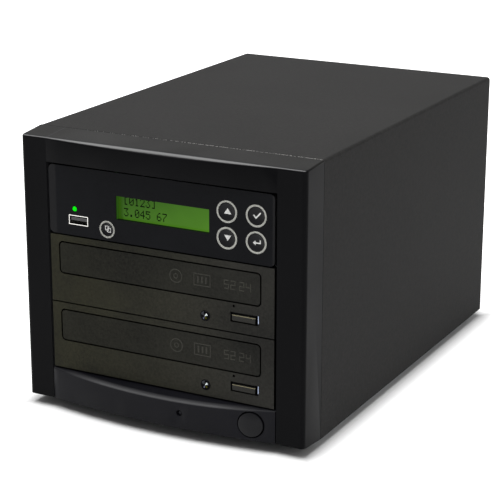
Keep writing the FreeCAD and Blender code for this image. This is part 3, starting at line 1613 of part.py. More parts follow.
def six_sided(half_x, half_z, ys):
    """A block round the inlet's middle with its two upper corners cut off."""
    z = deck_z + inlet_rise
    y = min(ys)
    outline = [(-half_x, -half_z), (half_x, -half_z),
               (half_x, half_z - inlet_corner), (half_x - inlet_corner, half_z),
               (inlet_corner - half_x, half_z), (-half_x, half_z - inlet_corner)]
    return prism([Vector(inlet_x + across, y, z + up) for across, up in outline], along_y(abs(ys[1] - ys[0])))


def mains_inlet():
    """The recessed mains inlet with its flange and three pins."""
    z = deck_z + inlet_rise
    front = rear_panel_y + inlet_flange_thickness
    half_x = inlet_width / 2 + inlet_flange_step
    half_z = inlet_height / 2 + inlet_flange_step
    flange = box((inlet_x - half_x, inlet_x + half_x), (rear_panel_y, front), (z - half_z, z + half_z))
    body = inlet_outline(-snug_gap, (front - inlet_body_depth, rear_panel_y))
    cavity = six_sided(inlet_cavity_width / 2, inlet_cavity_height / 2,
                       (front - inlet_cavity_depth, front + cut_over))
    pieces = [fuse([flange, body]).cut(cavity)]
    pins = ((-inlet_pin_spacing, -inlet_pin_offset), (0, inlet_pin_offset),
            (inlet_pin_spacing, -inlet_pin_offset))
    for x, rise in pins:
        pin_start = front - inlet_cavity_depth
        pieces.append(box((inlet_x + x - inlet_pin_width / 2, inlet_x + x + inlet_pin_width / 2),
                          (pin_start, pin_start + inlet_pin_length),
                          (z + rise - inlet_pin_height / 2, z + rise + inlet_pin_height / 2)))
    return Part.Compound(pieces)


def rocker_pivot():
    """The middle of the rocker's pivot line."""
    return Vector(inlet_x, rear_panel_y + rocker_flange_thickness - rocker_pivot_sunk, deck_z + rocker_rise)


def switch_body():
    """The snap-in body of the rear switch with bearings for the rocker."""
    z = deck_z + rocker_rise
    front = rear_panel_y + rocker_flange_thickness
    half_x, half_z = rocker_hole_width / 2, rocker_hole_height / 2
    rim_x, rim_z = half_x + rocker_flange_step, half_z + rocker_flange_step
    flange = box((inlet_x - rim_x, inlet_x + rim_x), (rear_panel_y, front), (z - rim_z, z + rim_z))
    body_x, body_z = half_x - snug_gap, half_z - snug_gap
    body = box((inlet_x - body_x, inlet_x + body_x), (front - rocker_body_depth, rear_panel_y),
               (z - body_z, z + body_z))
    inner_x, inner_z = body_x - rocker_wall, body_z - rocker_wall
    cavity = box((inlet_x - inner_x, inlet_x + inner_x), (front - rocker_cavity_depth, front + cut_over),
                 (z - inner_z, z + inner_z))
    pivot = rocker_pivot()
    bearing = rod(rocker_pin_radius + shaft_gap, pivot - along_z(body_z + cut_over),
                  pivot + along_z(body_z + cut_over))
    return fuse([flange, body]).cut([cavity, bearing])


def power_rocker():
    """The rocker of the rear switch, resting on its off side."""
    pivot = rocker_pivot()
    half_z = rocker_hole_height / 2 - snug_gap - rocker_wall - rocker_side_gap
    points = [Vector(-rocker_half_length, rocker_end_rise, 0), Vector(0, rocker_middle_rise, 0),
              Vector(rocker_half_length, rocker_end_rise, 0),
              Vector(rocker_root_half_length, -rocker_root, 0),
              Vector(-rocker_root_half_length, -rocker_root, 0)]
    body = prism([pivot + point - along_z(half_z) for point in points], along_z(2 * half_z))
    reach = half_z + rocker_side_gap + rocker_wall / 2
    pins = rod(rocker_pin_radius, pivot - along_z(reach), pivot + along_z(reach))
    rocker = fuse([body, pins])
    rocker.rotate(pivot, Vector(0, 0, 1), -rocker_tilt)
    return rocker


def supply_insides():
    """The supply's board with transformer, capacitors and heat sinks, and the duct of its fan."""
    low = deck_z + thin_sheet + controller_standoff_height
    top = low + board_thickness
    half = supply_width / 2 - thin_sheet - moulded_wall
    front = supply_front_y + moulded_wall
    rear = supply_front_y + supply_board_length + supply_hole_inset
    pieces = [box(both_sides(half), (front, rear), (low, top))]
    middle = Vector(0, (front + rear) / 2, top)
    pieces.append(box_about(middle + along_x(transformer_x), transformer_size, transformer_size,
                            (0, transformer_size)))
    for x in both_sides(heat_sink_x):
        pieces.append(box_about(middle + along_x(x), heat_sink_thickness, supply_board_length / 2,
                                (0, heat_sink_height)))
    for y in both_sides(tall_can_pitch / 2):
        at = middle + Vector(tall_can_x, y - tall_can_pitch / 2, 0)
        pieces.append(rod(tall_can_radius, at, at + along_z(tall_can_height)))
    back = rear_panel_y - thin_sheet
    pieces.append(fan_duct(supply_fan_x, deck_z + supply_height / 2, back - supply_fan_depth, back,
                           supply_fan_radius, supply_hub_radius))
    return Part.Compound(pieces)


# Fans

def fan_duct(x, z, front, back, radius, hub_radius_here):
    """A round duct with four struts and a bearing cup at its back."""
    at = Vector(x, 0, z)
    wall = rod(radius + fan_duct_wall, at + along_y(front), at + along_y(back))
    bore = rod(radius, at + along_y(front - cut_over), at + along_y(back + cut_over))
    pieces = [wall.cut(bore)]
    strut_front = back - fan_strut_thickness
    cup = rod(hub_radius_here - fan_hub_gap, at + along_y(strut_front), at + along_y(back))
    pieces.append(cup)
    reach = radius + fan_duct_wall / 2
    for place in range(fan_struts):
        bar = box((x, x + reach), (strut_front, back), (z - fan_strut / 2, z + fan_strut / 2))
        bar.rotate(Vector(x, back, z), Vector(0, 1, 0), 360 * (place + first_strut_share) / fan_struts)
        pieces.append(bar)
    bearing = rod(fan_shaft_radius + shaft_gap, at + along_y(strut_front - cut_over),
                  at + along_y(strut_front + fan_shaft_reach + running_gap))
    return fuse(pieces).cut(bearing)


def fan_frame():
    """The square frame of the case fan: a duct between two flanges with corner holes."""
    front, back = rear_panel_y - fan_depth, rear_panel_y
    half = fan_size / 2
    duct = fan_duct(0, fan_z, front, back, fan_duct_radius, fan_hub_radius)
    pieces = [duct]
    bore = rod(fan_duct_radius, Vector(0, front - cut_over, fan_z), Vector(0, back + cut_over, fan_z))
    holes = [bore]
    for x, z in fan_screw_places():
        holes.append(rod(fan_hole_radius, Vector(x, front - cut_over, z), Vector(x, back + cut_over, z)))
    for first, last in ((front, front + fan_flange), (back - fan_flange, back)):
        flange = rounded_box(both_sides(half), (first, last), (fan_z - half, fan_z + half), fan_corner,
                             Vector(0, 1, 0))
        pieces.append(flange.cut(holes))
    return fuse(pieces)


def rotor(x, z, front, back, tip_radius, hub_radius_here):
    """A fan rotor: hub, curved blades and a shaft into the duct's bearing."""
    at = Vector(x, 0, z)
    hub = rod(hub_radius_here, at + along_y(front), at + along_y(back))
    chord = (back - front) * blade_chord_share
    pitch = math.radians(fan_blade_pitch)
    run_y, run_x = chord * math.cos(pitch) / 2, chord * math.sin(pitch) / 2
    middle_y = (front + back) / 2
    bow = chord * blade_bow_share
    ends = [Vector(x - run_x, middle_y - run_y, z), Vector(x + run_x, middle_y + run_y, z)]
    side = Vector(math.cos(pitch), -math.sin(pitch), 0)
    outer = Part.Arc(ends[0], Vector(x, middle_y, z) + side * bow, ends[1]).toShape()
    shift = side * fan_blade_thickness
    inner = Part.Arc(ends[1] + shift, Vector(x, middle_y, z) + side * bow + shift, ends[0] + shift).toShape()
    closing = [Part.LineSegment(ends[1], ends[1] + shift).toShape(),
               Part.LineSegment(ends[0] + shift, ends[0]).toShape()]
    section = Part.Face(Part.Wire([outer, closing[0], inner, closing[1]]))
    blade = section.extrude(along_z(tip_radius))
    within = rod(tip_radius, at + along_y(front), at + along_y(back))
    core = rod(hub_radius_here / 2, at + along_y(front), at + along_y(back))
    blade = blade.common(within).cut(core)
    pieces = [hub]
    for place in range(fan_blades):
        copy = blade.copy()
        copy.rotate(at, Vector(0, 1, 0), 360 * place / fan_blades)
        pieces.append(copy)
    shaft = rod(fan_shaft_radius, at + along_y(back), at + along_y(back + fan_hub_gap + fan_shaft_reach))
    return fuse(pieces + [shaft])


def fan_rotor():
    """The rotor of the case fan."""
    back = rear_panel_y - fan_strut_thickness - fan_hub_gap
    return rotor(0, fan_z, rear_panel_y - fan_depth + fan_hub_gap, back, fan_duct_radius - fan_tip_gap,
                 fan_hub_radius)


def supply_fan_rotor():
    """The rotor of the supply's fan."""
    end = rear_panel_y - thin_sheet
    return rotor(supply_fan_x, deck_z + supply_height / 2, end - supply_fan_depth + fan_hub_gap,
                 end - fan_strut_thickness - fan_hub_gap, supply_fan_radius - fan_tip_gap, supply_hub_radius)


def fan_guard():
    """The wire guard outside the rear panel: crossed wires with eyes, and three rings on them."""
    wire_y = rear_face_y + guard_wire_radius
    ring_y = wire_y + 2 * guard_wire_radius - guard_weld
    at = Vector(0, wire_y, fan_z)
    pieces = []
    holes = []
    for x, z in fan_screw_places():
        eye = Vector(x, 0, z)
        eye_back = rear_face_y + 2 * guard_wire_radius
        pieces.append(rod(guard_eye_radius, eye + along_y(rear_face_y), eye + along_y(eye_back)))
        holes.append(rod(fan_hole_radius, eye + along_y(rear_face_y - cut_over),
                         eye + along_y(eye_back + cut_over)))
    half = fan_hole_spacing / 2
    for x in (-half, half):
        pieces.append(rod(guard_wire_radius, at + Vector(x, 0, -half), at + Vector(-x, 0, half)))
    for share in guard_ring_radii_shares:
        pieces.append(Part.makeTorus(fan_duct_radius * share, guard_wire_radius, Vector(0, ring_y, fan_z),
                                     Vector(0, 1, 0)))
    return fuse(pieces).cut(holes)


# Feet and screws

def rubber_feet():
    """Four round feet with a sunk hole for the screw."""
    pieces = []
    for x, y in foot_places():
        at = Vector(x, y, 0)
        body = cone(foot_radius, foot_top_radius, at, at + along_z(foot_height))
        sink = rod(screw_head_radius + screw_gap, at - along_z(cut_over), at + along_z(foot_hole_depth))
        hole = rod(screw_radius + screw_gap, at, at + along_z(foot_height + cut_over))
        pieces.append(body.cut([sink, hole]))
    return Part.Compound(pieces)


def screws():
    """All the screws that show or hold the chassis together."""
    pieces = []
    for x, z in cover_screw_places():
        pieces.append(screw(Vector(x, rear_y, z), along_y(-cover_screw_length)))
    for x, y in foot_places():
        pieces.append(screw(Vector(x, y, foot_hole_depth), along_z(foot_screw_length)))
    for x, z in fan_screw_places():
        pieces.append(screw(Vector(x, rear_face_y + 2 * guard_wire_radius, z), along_y(-fan_screw_length)))
    for x, z in supply_screw_places():
        pieces.append(screw(Vector(x, rear_face_y, z), along_y(-cover_screw_length)))
    for bay_z in bay_floors:
        for y, z in drive_screw_places(bay_z):
            for side in (-1, 1):
                head_base = Vector(side * (bracket_half + sheet), y, z)
                pieces.append(screw(head_base, along_x(-side * (bracket_gap + sheet + thin_sheet / 2))))
    for x, z in boss_places:
        pieces.append(panel_screw(x, z))
    return Part.Compound(pieces)


def panel_screw(x, z):
    """A small screw that holds the panel's board on its boss."""
    back = board_y + board_thickness
    head = rod(boss_radius, Vector(x, back, z), Vector(x, back + panel_screw_head, z))
    shank = rod(boss_hole_radius - shaft_gap, Vector(x, back, z), Vector(x, back - panel_screw_length, z))
    return fuse([head, shank])


# Wiring

def cable(x, start, rise_y, end, radius):
    """A round lead in one upright plane: from start to the rise, up it with round bends, and on to end."""
    (start_y, start_z), (end_y, end_z) = start, end
    first, last = Vector(x, start_y, start_z), Vector(x, end_y, end_z)
    lower, upper = Vector(x, rise_y, start_z), Vector(x, rise_y, end_z)
    edges = []
    at = first
    for corner, onward in ((lower, upper), (upper, last)):
        arrive = (corner - at).normalize()
        leave = (onward - corner).normalize()
        bend_start, bend_end = corner - arrive * cable_bend, corner + leave * cable_bend
        centre = corner + (leave - arrive) * cable_bend
        middle = centre + (corner - centre).normalize() * cable_bend
        edges += [Part.LineSegment(at, bend_start).toShape(),
                  Part.Arc(bend_start, middle, bend_end).toShape()]
        at = bend_end
    edges.append(Part.LineSegment(at, last).toShape())
    profile = Part.Wire(Part.makeCircle(radius, first, (lower - first).normalize()))
    return Part.Wire(edges).makePipeShell([profile], True, False)


def wiring():
    """Leads from drives, supply, socket, fan and switch to controller or supply, and the panel's ribbon."""
    front, rear, top = controller_board_limits()
    entry = (rear, top + sata_height / 2)
    rise_y = (drive_back_y + supply_front_y) / 2
    pieces = []
    for step, bay_z in zip((cable_step, -cable_step), bay_floors):
        level = board_top(bay_z + drive_lift) + sata_height / 2
        for left, right in connector_limits():
            middle = (left + right) / 2
            x = middle + math.copysign(step, middle)
            pieces.append(cable(x, (drive_back_y, level), rise_y, entry, cable_radius))
    supply_end = (supply_front_y, deck_z + supply_lead_rise)
    pieces.append(cable(supply_lead_x, supply_end, rise_y, entry, cable_radius))
    port_back = face_y - port_proud + port_length
    level = top + cable_radius + snug_gap
    pieces.append(rod(cable_radius, Vector(port_x, port_back, level), Vector(port_x, front, level)))
    fan_front = rear_panel_y - fan_depth
    pieces.append(rod(thin_cable_radius, Vector(fan_lead_x, fan_front, entry[1]),
                      Vector(fan_lead_x, rear, entry[1])))
    x = button_x - switch_lead_step
    switch_back = panel_seat_y + bezel_wall + switch_depth + switch_lug
    pieces.append(rod(thin_cable_radius, Vector(x, switch_back, button_z),
                      Vector(x, supply_front_y, button_z)))
    pieces.append(ribbon(front, top + header_height / 2))
    return Part.Compound(pieces)


def ribbon(end_y, end_z):
    """The flat lead between the panel's header and the controller's."""
    start_y = board_y + board_thickness + header_depth
    half = ribbon_thickness / 2
    points = [Vector(window_x - ribbon_width / 2, start_y, window_z - half),
              Vector(window_x - ribbon_width / 2, end_y, end_z - half),
              Vector(window_x - ribbon_width / 2, end_y, end_z + half),
              Vector(window_x - ribbon_width / 2, start_y, window_z + half)]
    return prism(points, along_x(ribbon_width))


def write(name, shape):
    """One file per piece, named after it."""
    if shape.ShapeType == "Compound":
        solids = shape.Solids
        shape = solids[0] if len(solids) == 1 else Part.Compound(solids)
    shape.exportStep(os.path.join("parts", name + ".step"))


def main():
    os.makedirs("parts", exist_ok=True)
    write("front_bezel", front_bezel())
    write("lower_front_panel", lower_front_panel())
    write("power_button", power_button())
    write("power_switch", power_switch())
    write("indicator_lamps", indicator_lamps())
    write("control_panel", control_panel())
    write("usb_shell", usb_shell())
    write("usb_tongue", usb_tongue())
    for name, (x, rise, radius) in keys.items():
        write(name, key_cap(x, rise, radius))
    write("display_frame", display_frame())
    write("display_glass", display_glass())
    write("panel_board", panel_board())
    for name, bay_z in zip(("lower", "upper"), bay_floors):
        write(name + "_drive_front", drive_front(bay_z))
        write(name + "_drive_case", drive_case(bay_z))
        write(name + "_drive_lid", drive_lid(bay_z))
        write(name + "_tray", tray(bay_z))
        write(name + "_tray_front", tray_front(bay_z))
        write(name + "_eject_button", eject_button(bay_z))
        write(name + "_loader_frame", loader_frame(bay_z))
        write(name + "_traverse", traverse(bay_z))
        write(name + "_turntable", turntable(bay_z))
        write(name + "_laser_sled", laser_sled(bay_z))
        write(name + "_loading_gear", loading_gear(bay_z))
    write("drive_lenses", drive_lenses())
    write("disc_clamps", disc_clamps())
    write("drive_boards", drive_boards())
    write("base_pan", base_pan())
    write("front_frame", front_frame())
    write("rear_panel", rear_panel())
    write("cover", cover())
    write("drive_brackets", drive_brackets())
    write("controller_tray", controller_tray())
    write("controller_board", controller_board())
    write("power_supply_case", power_supply_case())
    write("supply_insides", supply_insides())
    write("mains_inlet", mains_inlet())
    write("switch_body", switch_body())
    write("power_rocker", power_rocker())
    write("supply_fan_rotor", supply_fan_rotor())
    write("fan_frame", fan_frame())
    write("fan_rotor", fan_rotor())
    write("fan_guard", fan_guard())
    write("rubber_feet", rubber_feet())
    write("screws", screws())
    write("wiring", wiring())


main()
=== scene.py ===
import math

import bpy
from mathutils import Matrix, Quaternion, Vector


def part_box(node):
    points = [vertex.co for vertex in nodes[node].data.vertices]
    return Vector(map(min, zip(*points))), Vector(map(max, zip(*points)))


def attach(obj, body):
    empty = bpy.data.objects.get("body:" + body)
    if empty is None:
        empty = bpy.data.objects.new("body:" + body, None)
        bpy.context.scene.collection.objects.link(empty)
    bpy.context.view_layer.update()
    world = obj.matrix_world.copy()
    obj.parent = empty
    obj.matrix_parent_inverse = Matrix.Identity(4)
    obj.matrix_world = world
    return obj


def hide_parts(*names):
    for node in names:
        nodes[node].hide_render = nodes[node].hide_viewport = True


# A desktop disc duplicator. Lengths are in millimetres until a mesh or a material is made of them. +Z is up,
# and the front looks along -Y.

MM = 0.001
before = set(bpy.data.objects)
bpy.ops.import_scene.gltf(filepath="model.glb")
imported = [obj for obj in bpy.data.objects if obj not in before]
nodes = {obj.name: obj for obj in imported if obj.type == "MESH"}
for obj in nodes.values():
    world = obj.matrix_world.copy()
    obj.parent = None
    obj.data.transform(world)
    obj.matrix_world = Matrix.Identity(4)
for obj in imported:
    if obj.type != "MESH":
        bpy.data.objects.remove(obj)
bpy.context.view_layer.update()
scene = bpy.context.scene


def corners(node):
    """Lowest and highest corner of a node of the frame, in millimetres."""
    return [[round(value / MM, 3) for value in corner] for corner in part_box(node)]


# Places of the frame that pieces and finishes are set against

panel_box = corners("control_panel")
lower_panel_box = corners("lower_front_panel")
glass_box = corners("display_glass")

FACE_Y = corners("lower_drive_front")[0][1]
PANEL_BULGE = FACE_Y - lower_panel_box[0][1]
PANEL_SEAM = 0.5
OPENING_HALF = lower_panel_box[1][0] + PANEL_SEAM
COVER_FRONT_Y = corners("cover")[0][1]
TOP_Z = corners("cover")[1][2]
DRIVE_BASES = {side: corners(side + "_drive_case")[0][2] for side in ("lower", "upper")}

GLASS_Y = glass_box[0][1]
WINDOW_INSET_X = 1.55
WINDOW_INSET_Z = 3.1
WINDOW_LEFT = glass_box[0][0] + WINDOW_INSET_X
WINDOW_RIGHT = glass_box[1][0] - WINDOW_INSET_X
WINDOW_LOW = glass_box[0][2] + WINDOW_INSET_Z
WINDOW_HIGH = glass_box[1][2] - WINDOW_INSET_Z


# Camera at the photograph's viewing angle

CAMERA_PLACE = Vector((479.40, -937.93, 397.26)) * MM
CAMERA_TARGET = Vector((6.1, -38.05, 84.66)) * MM
CAMERA_LENS = 123.13
CAMERA_ROLL = math.radians(0.09)

camera = bpy.data.objects.new("camera", bpy.data.cameras.new("camera"))
scene.collection.objects.link(camera)
scene.camera = camera
camera.data.lens = CAMERA_LENS
camera.data.sensor_width = 36.0
camera.data.clip_start = 0.01
camera.location = CAMERA_PLACE
camera.rotation_mode = "QUATERNION"
aim = (CAMERA_TARGET - CAMERA_PLACE).to_track_quat("-Z", "Y")
camera.rotation_quaternion = aim @ Quaternion((0.0, 0.0, 1.0), CAMERA_ROLL)
scene.view_settings.view_transform = "Standard"


# Parts that the material graphs are made of

def graph(name):
    """An empty node material and its tree."""
    material = bpy.data.materials.new(name)
    material.use_nodes = True
    material.node_tree.nodes.clear()
    return material, material.node_tree


def add(tree, kind, inputs=None, **settings):
    """A node with its settings, and its inputs as values or as sockets to link from."""
    made = tree.nodes.new(kind)
    for key, value in settings.items():
        setattr(made, key, value)
    for key, value in (inputs or {}).items():
        if isinstance(value, bpy.types.NodeSocket):
            tree.links.new(value, made.inputs[key])
        else:
            made.inputs[key].default_value = value
    return made


def opaque(colour):
    return (*colour, 1.0)


def row_place(tree):
    """The place in the row frame, in metres, and its three parts."""
    place = add(tree, "ShaderNodeTexCoord").outputs["Object"]
    split = add(tree, "ShaderNodeSeparateXYZ", {0: place})
    return place, split.outputs[0], split.outputs[1], split.outputs[2]


def noise(tree, place, scale, detail=2.0, roughness=0.5):
    """A noise texture in the row frame; scale counts its grains per metre."""
    made = add(tree, "ShaderNodeTexNoise", {"Vector": place, "Scale": scale, "Detail": detail,
                                            "Roughness": roughness})
    return made.outputs["Fac"]


def reckon(tree, operation, first, second=0.0):
    """One or two values through one sum."""
    return add(tree, "ShaderNodeMath", {0: first, 1: second}, operation=operation).outputs[0]


def product(tree, first, *others):
    """Several values multiplied."""
    for other in others:
        first = reckon(tree, "MULTIPLY", first, other)
    return first


def spread(tree, value, low, high, out_low, out_high):
    """A value brought from one range to another and held there."""
    made = add(tree, "ShaderNodeMapRange", {"Value": value, "From Min": low, "From Max": high,
                                            "To Min": out_low, "To Max": out_high})
    return made.outputs["Result"]


def rising(tree, value, low, high):
    """Nought before the low place and one after the high place, both in millimetres."""
    return spread(tree, value, low * MM, high * MM, 0.0, 1.0)


def falling(tree, value, low, high):
    """One before the low place and nought after the high place, both in millimetres."""
    return spread(tree, value, low * MM, high * MM, 1.0, 0.0)


def between(tree, factor, first, second):
    """A colour between two, by a factor; either may be a socket."""
    made = add(tree, "ShaderNodeMix", data_type="RGBA")
    tree.links.new(factor, made.inputs[0])
    for socket, colour in ((made.inputs[6], first), (made.inputs[7], second)):
        if isinstance(colour, bpy.types.NodeSocket):
            tree.links.new(colour, socket)
        else:
            socket.default_value = opaque(colour)
    return made.outputs[2]


def grain(tree, place, scale, detail=3.0, roughness=0.6, cloud=18.0, cloud_detail=2.0):
    """A fine grain, and that grain with a slow clouding as a level from nought to one."""
    fine = noise(tree, place, scale, detail, roughness)
    mixed = reckon(tree, "ADD", fine, noise(tree, place, cloud, cloud_detail))
    return fine, spread(tree, mixed, 0.75, 1.25, 0.0, 1.0)


def gloss(tree, level, smooth, rough):
    """A roughness between two, by a level from nought to one."""
    return spread(tree, level, 0.0, 1.0, smooth, rough)


def relief(tree, height, distance, strength=1.0):
    """The bumped normal of a height pattern; distance is in millimetres."""
    made = add(tree, "ShaderNodeBump", {"Height": height, "Distance": distance * MM, "Strength": strength})
    return made.outputs["Normal"]


def finish_with(tree, shader):
    add(tree, "ShaderNodeOutputMaterial", {"Surface": shader.outputs[0]})


def surface(tree, inputs):
    """The one shader of a solid material, and the material's output."""
    finish_with(tree, add(tree, "ShaderNodeBsdfPrincipled", inputs))


def drive_height(tree, z):
    """Height above the base of the drive that a place belongs to."""
    rise = reckon(tree, "SUBTRACT", z, DRIVE_BASES["lower"] * MM)
    pitch = (DRIVE_BASES["upper"] - DRIVE_BASES["lower"]) * MM
    return add(tree, "ShaderNodeMath", {0: rise, 1: pitch, 2: 0.0}, operation="WRAP").outputs[0]


def depth_behind_bulge(tree, x, y):
    """How far a place lies behind the bulged front of the lower panel; below nought ahead of it."""
    across = reckon(tree, "DIVIDE", x, OPENING_HALF * MM)
    bulge = spread(tree, product(tree, across, across), 0.0, 1.0, PANEL_BULGE * MM, 0.0)
    return reckon(tree, "ADD", reckon(tree, "SUBTRACT", y, FACE_Y * MM), bulge)


# Finishes that several pieces share

GLOSS_PLAY = 0.08


def grained(name, dark, light, scale, roughness, height, metallic=0.0, specular=0.5):
    """A finish whose colour, gloss and relief carry a fine grain and a slow clouding."""
    material, tree = graph(name)
    fine, level = grain(tree, row_place(tree)[0], scale)
    surface(tree, {
        "Base Color": between(tree, level, dark, light), "Normal": relief(tree, fine, height),
        "Roughness": gloss(tree, level, roughness - GLOSS_PLAY, roughness + GLOSS_PLAY),
        "Metallic": metallic, "Specular IOR Level": specular})
    return material


def brushed(name, dark, light, stretch, roughness):
    """Rolled or drawn metal with fine streaks along one way and a few duller patches."""
    material, tree = graph(name)
    place = row_place(tree)[0]
    along = add(tree, "ShaderNodeMapping", {"Vector": place, "Scale": stretch}).outputs[0]
    streak = noise(tree, along, 900.0, 3.0, 0.6)
    mixed = reckon(tree, "ADD", streak, noise(tree, place, 45.0, 3.0))
    level = spread(tree, mixed, 0.7, 1.3, 0.0, 1.0)
    surface(tree, {
        "Base Color": between(tree, level, dark, light), "Normal": relief(tree, streak, 0.02, 0.6),
        "Roughness": gloss(tree, level, roughness - 0.08, roughness + 0.12), "Metallic": 1.0})
    return material


def circuit_board():
    """Solder mask with traces, paler pads and the slight gloss of lacquer."""
    material, tree = graph("circuit_board")
    place = row_place(tree)[0]
    cells = add(tree, "ShaderNodeTexVoronoi", {"Vector": place, "Scale": 420.0, "Randomness": 0.35},
                feature="DISTANCE_TO_EDGE").outputs["Distance"]
    traces = spread(tree, cells, 0.04, 0.10, 1.0, 0.0)
    pads = spread(tree, noise(tree, place, 500.0, 1.0), 0.68, 0.72, 0.0, 1.0)
    mask = between(tree, traces, (0.006, 0.075, 0.030), (0.020, 0.165, 0.070))
    surface(tree, {
        "Base Color": between(tree, pads, mask, (0.55, 0.50, 0.36)), "Roughness": 0.38,
        "Normal": relief(tree, traces, 0.05, 0.8)})
    return material


# Cover and bezel; the smooth moulded plastics share one fine grain

MOULDED_GRAIN = 2300.0
CHIP_COLOUR = (0.72, 0.71, 0.68)
# Heights of the painted highlight along the bezel's top front edge; above them the top face gets a painted
# sheen
PAINTED_HIGHLIGHT_LOW = TOP_Z - 2.2
PAINTED_HIGHLIGHT_HIGH = TOP_Z - 1.7


def powder_coat():
    """Fine textured coat, chipped to the bare sheet in a broken line along the cover's front edge."""
    material, tree = graph("powder_coat")
    place, x, y, z = row_place(tree)
    fine = noise(tree, place, 540.0, 4.0, 0.8)
    mixed = reckon(tree, "ADD", fine, product(tree, noise(tree, place, 14.0), 0.2))
    level = spread(tree, mixed, 0.4, 0.8, 0.0, 1.0)
    coat = between(tree, level, (0.0030, 0.0029, 0.0028), (0.0330, 0.0322, 0.0316))
    near_edge = falling(tree, y, COVER_FRONT_Y - 0.1, COVER_FRONT_Y + 0.9)
    on_top = rising(tree, z, TOP_Z - 1.6, TOP_Z - 0.6)
    more_to_the_right = spread(tree, x, -75.0 * MM, 20.0 * MM, 0.26, 0.46)
    speck = noise(tree, place, 1300.0, 4.0, 0.7)
    chip = reckon(tree, "ADD", speck, product(tree, near_edge, on_top, more_to_the_right))
    chipped = product(tree, spread(tree, chip, 0.86, 0.94, 0.0, 1.0), on_top)
    surface(tree, {
        "Base Color": between(tree, chipped, coat, CHIP_COLOUR), "Roughness": gloss(tree, level, 0.62, 0.80),
        "Normal": relief(tree, fine, 0.09, 0.9), "Specular IOR Level": 0.08})
    return material


def bezel_with_painted_light():
    """Satin black plastic with painted light: a painted sheen that makes its top face paler, a painted
    highlight along its top front edge, and painted light on the opening's wall left of the control panel.
    """
    material, tree = graph("bezel_plastic")
    place, x, y, z = row_place(tree)
    fine, level = grain(tree, place, MOULDED_GRAIN)
    black = between(tree, level, (0.0016, 0.0016, 0.0020), (0.0034, 0.0034, 0.0040))
    # Painted sheen: the top face above the front edge is given a paler colour
    painted_top_sheen = rising(tree, z, PAINTED_HIGHLIGHT_HIGH + 0.05, PAINTED_HIGHLIGHT_HIGH + 0.25)
    base = between(tree, painted_top_sheen, black, (0.0092, 0.0089, 0.0084))
    # Painted light: the opening's wall left of the control panel is given a paler colour
    wall = product(tree, rising(tree, x, -OPENING_HALF - 0.4, -OPENING_HALF),
                   falling(tree, x, -OPENING_HALF + 0.2, -OPENING_HALF + 0.4),
                   rising(tree, y, FACE_Y + 0.3, FACE_Y + 0.6))
    base = between(tree, wall, base, (0.030, 0.030, 0.033))
    # Painted highlight: a pale band along the rounded top front edge
    edge = product(tree, rising(tree, z, PAINTED_HIGHLIGHT_LOW, PAINTED_HIGHLIGHT_LOW + 0.25),
                   falling(tree, z, PAINTED_HIGHLIGHT_HIGH - 0.10, PAINTED_HIGHLIGHT_HIGH + 0.02),
                   falling(tree, y, FACE_Y + 0.8, FACE_Y + 1.4))
    surface(tree, {
        "Base Color": between(tree, edge, base, (0.17, 0.17, 0.17)),
        "Roughness": gloss(tree, level, 0.32, 0.46), "Normal": relief(tree, fine, 0.012),
        "Specular IOR Level": 0.04})
    return material


# Lower front panel and control panel

LEDGE_TOP = lower_panel_box[1][2]
LEDGE_BACK = 1.2
LEDGE_SLOPE = 0.356
LAMPS_DIVIDE = 59.0


def lower_panel_with_painted_highlight():
    """Smooth blue-black plastic with a painted highlight on the ledge under the drives, strongest towards its
    rounded front edge and in the middle.
    """
    material, tree = graph("lower_panel_plastic")
    place, x, y, z = row_place(tree)
    fine, level = grain(tree, place, MOULDED_GRAIN)
    base = between(tree, level, (0.0030, 0.0030, 0.0046), (0.0058, 0.0058, 0.0080))
    # Painted highlight: the ledge's upper part is made paler near the bulged front and in the middle
    fall = product(tree, reckon(tree, "SUBTRACT", (FACE_Y + LEDGE_BACK) * MM, y), LEDGE_SLOPE)
    above = reckon(tree, "SUBTRACT", reckon(tree, "ADD", z, fall), LEDGE_TOP * MM)
    upper = rising(tree, above, -0.9, -0.3)
    near_edge = falling(tree, depth_behind_bulge(tree, x, y), 0.6, 3.4)
    middle = spread(tree, reckon(tree, "ABSOLUTE", x), 38.0 * MM, 66.0 * MM, 1.0, 0.12)
    painted_ledge_highlight = product(tree, upper, near_edge, middle)
    surface(tree, {
        "Base Color": between(tree, painted_ledge_highlight, base, (0.080, 0.080, 0.083)),
        "Roughness": gloss(tree, level, 0.28, 0.44), "Normal": relief(tree, fine, 0.012),
        "Specular IOR Level": 0.08})
    return material


def panel_with_painted_light():
    """Smooth blue-black plastic with painted highlights at its left and right end, and a painted glow from
    the display on the left wall of its window.
    """
    material, tree = graph("panel_plastic")
    place, x, y, z = row_place(tree)
    fine, level = grain(tree, place, MOULDED_GRAIN, cloud=40.0, cloud_detail=3.0)
    face = between(tree, level, (0.0018, 0.0020, 0.0030), (0.0048, 0.0051, 0.0064))
    # Painted highlights: the panel's left and right end are given a paler colour
    left_end = falling(tree, x, panel_box[0][0] + 4.2, panel_box[0][0] + 5.2)
    right_end = rising(tree, x, panel_box[1][0] - 1.6, panel_box[1][0] - 1.0)
    painted_end_highlights = reckon(tree, "ADD", left_end, right_end)
    # Painted glow: emission on the left wall of the display window stands in for the display's light
    off_wall = reckon(tree, "ABSOLUTE", reckon(tree, "SUBTRACT", x, WINDOW_LEFT * MM))
    painted_display_glow = product(tree, falling(tree, off_wall, 0.03, 0.06), rising(tree, y, FACE_Y + 0.3, FACE_Y + 0.8))
    surface(tree, {
        "Base Color": between(tree, painted_end_highlights, face, (0.0125, 0.0125, 0.0135)),
        "Roughness": gloss(tree, level, 0.26, 0.42), "Normal": relief(tree, fine, 0.010),
        "Specular IOR Level": 0.05, "Emission Color": opaque((0.020, 0.072, 0.005)),
        "Emission Strength": painted_display_glow})
    return material


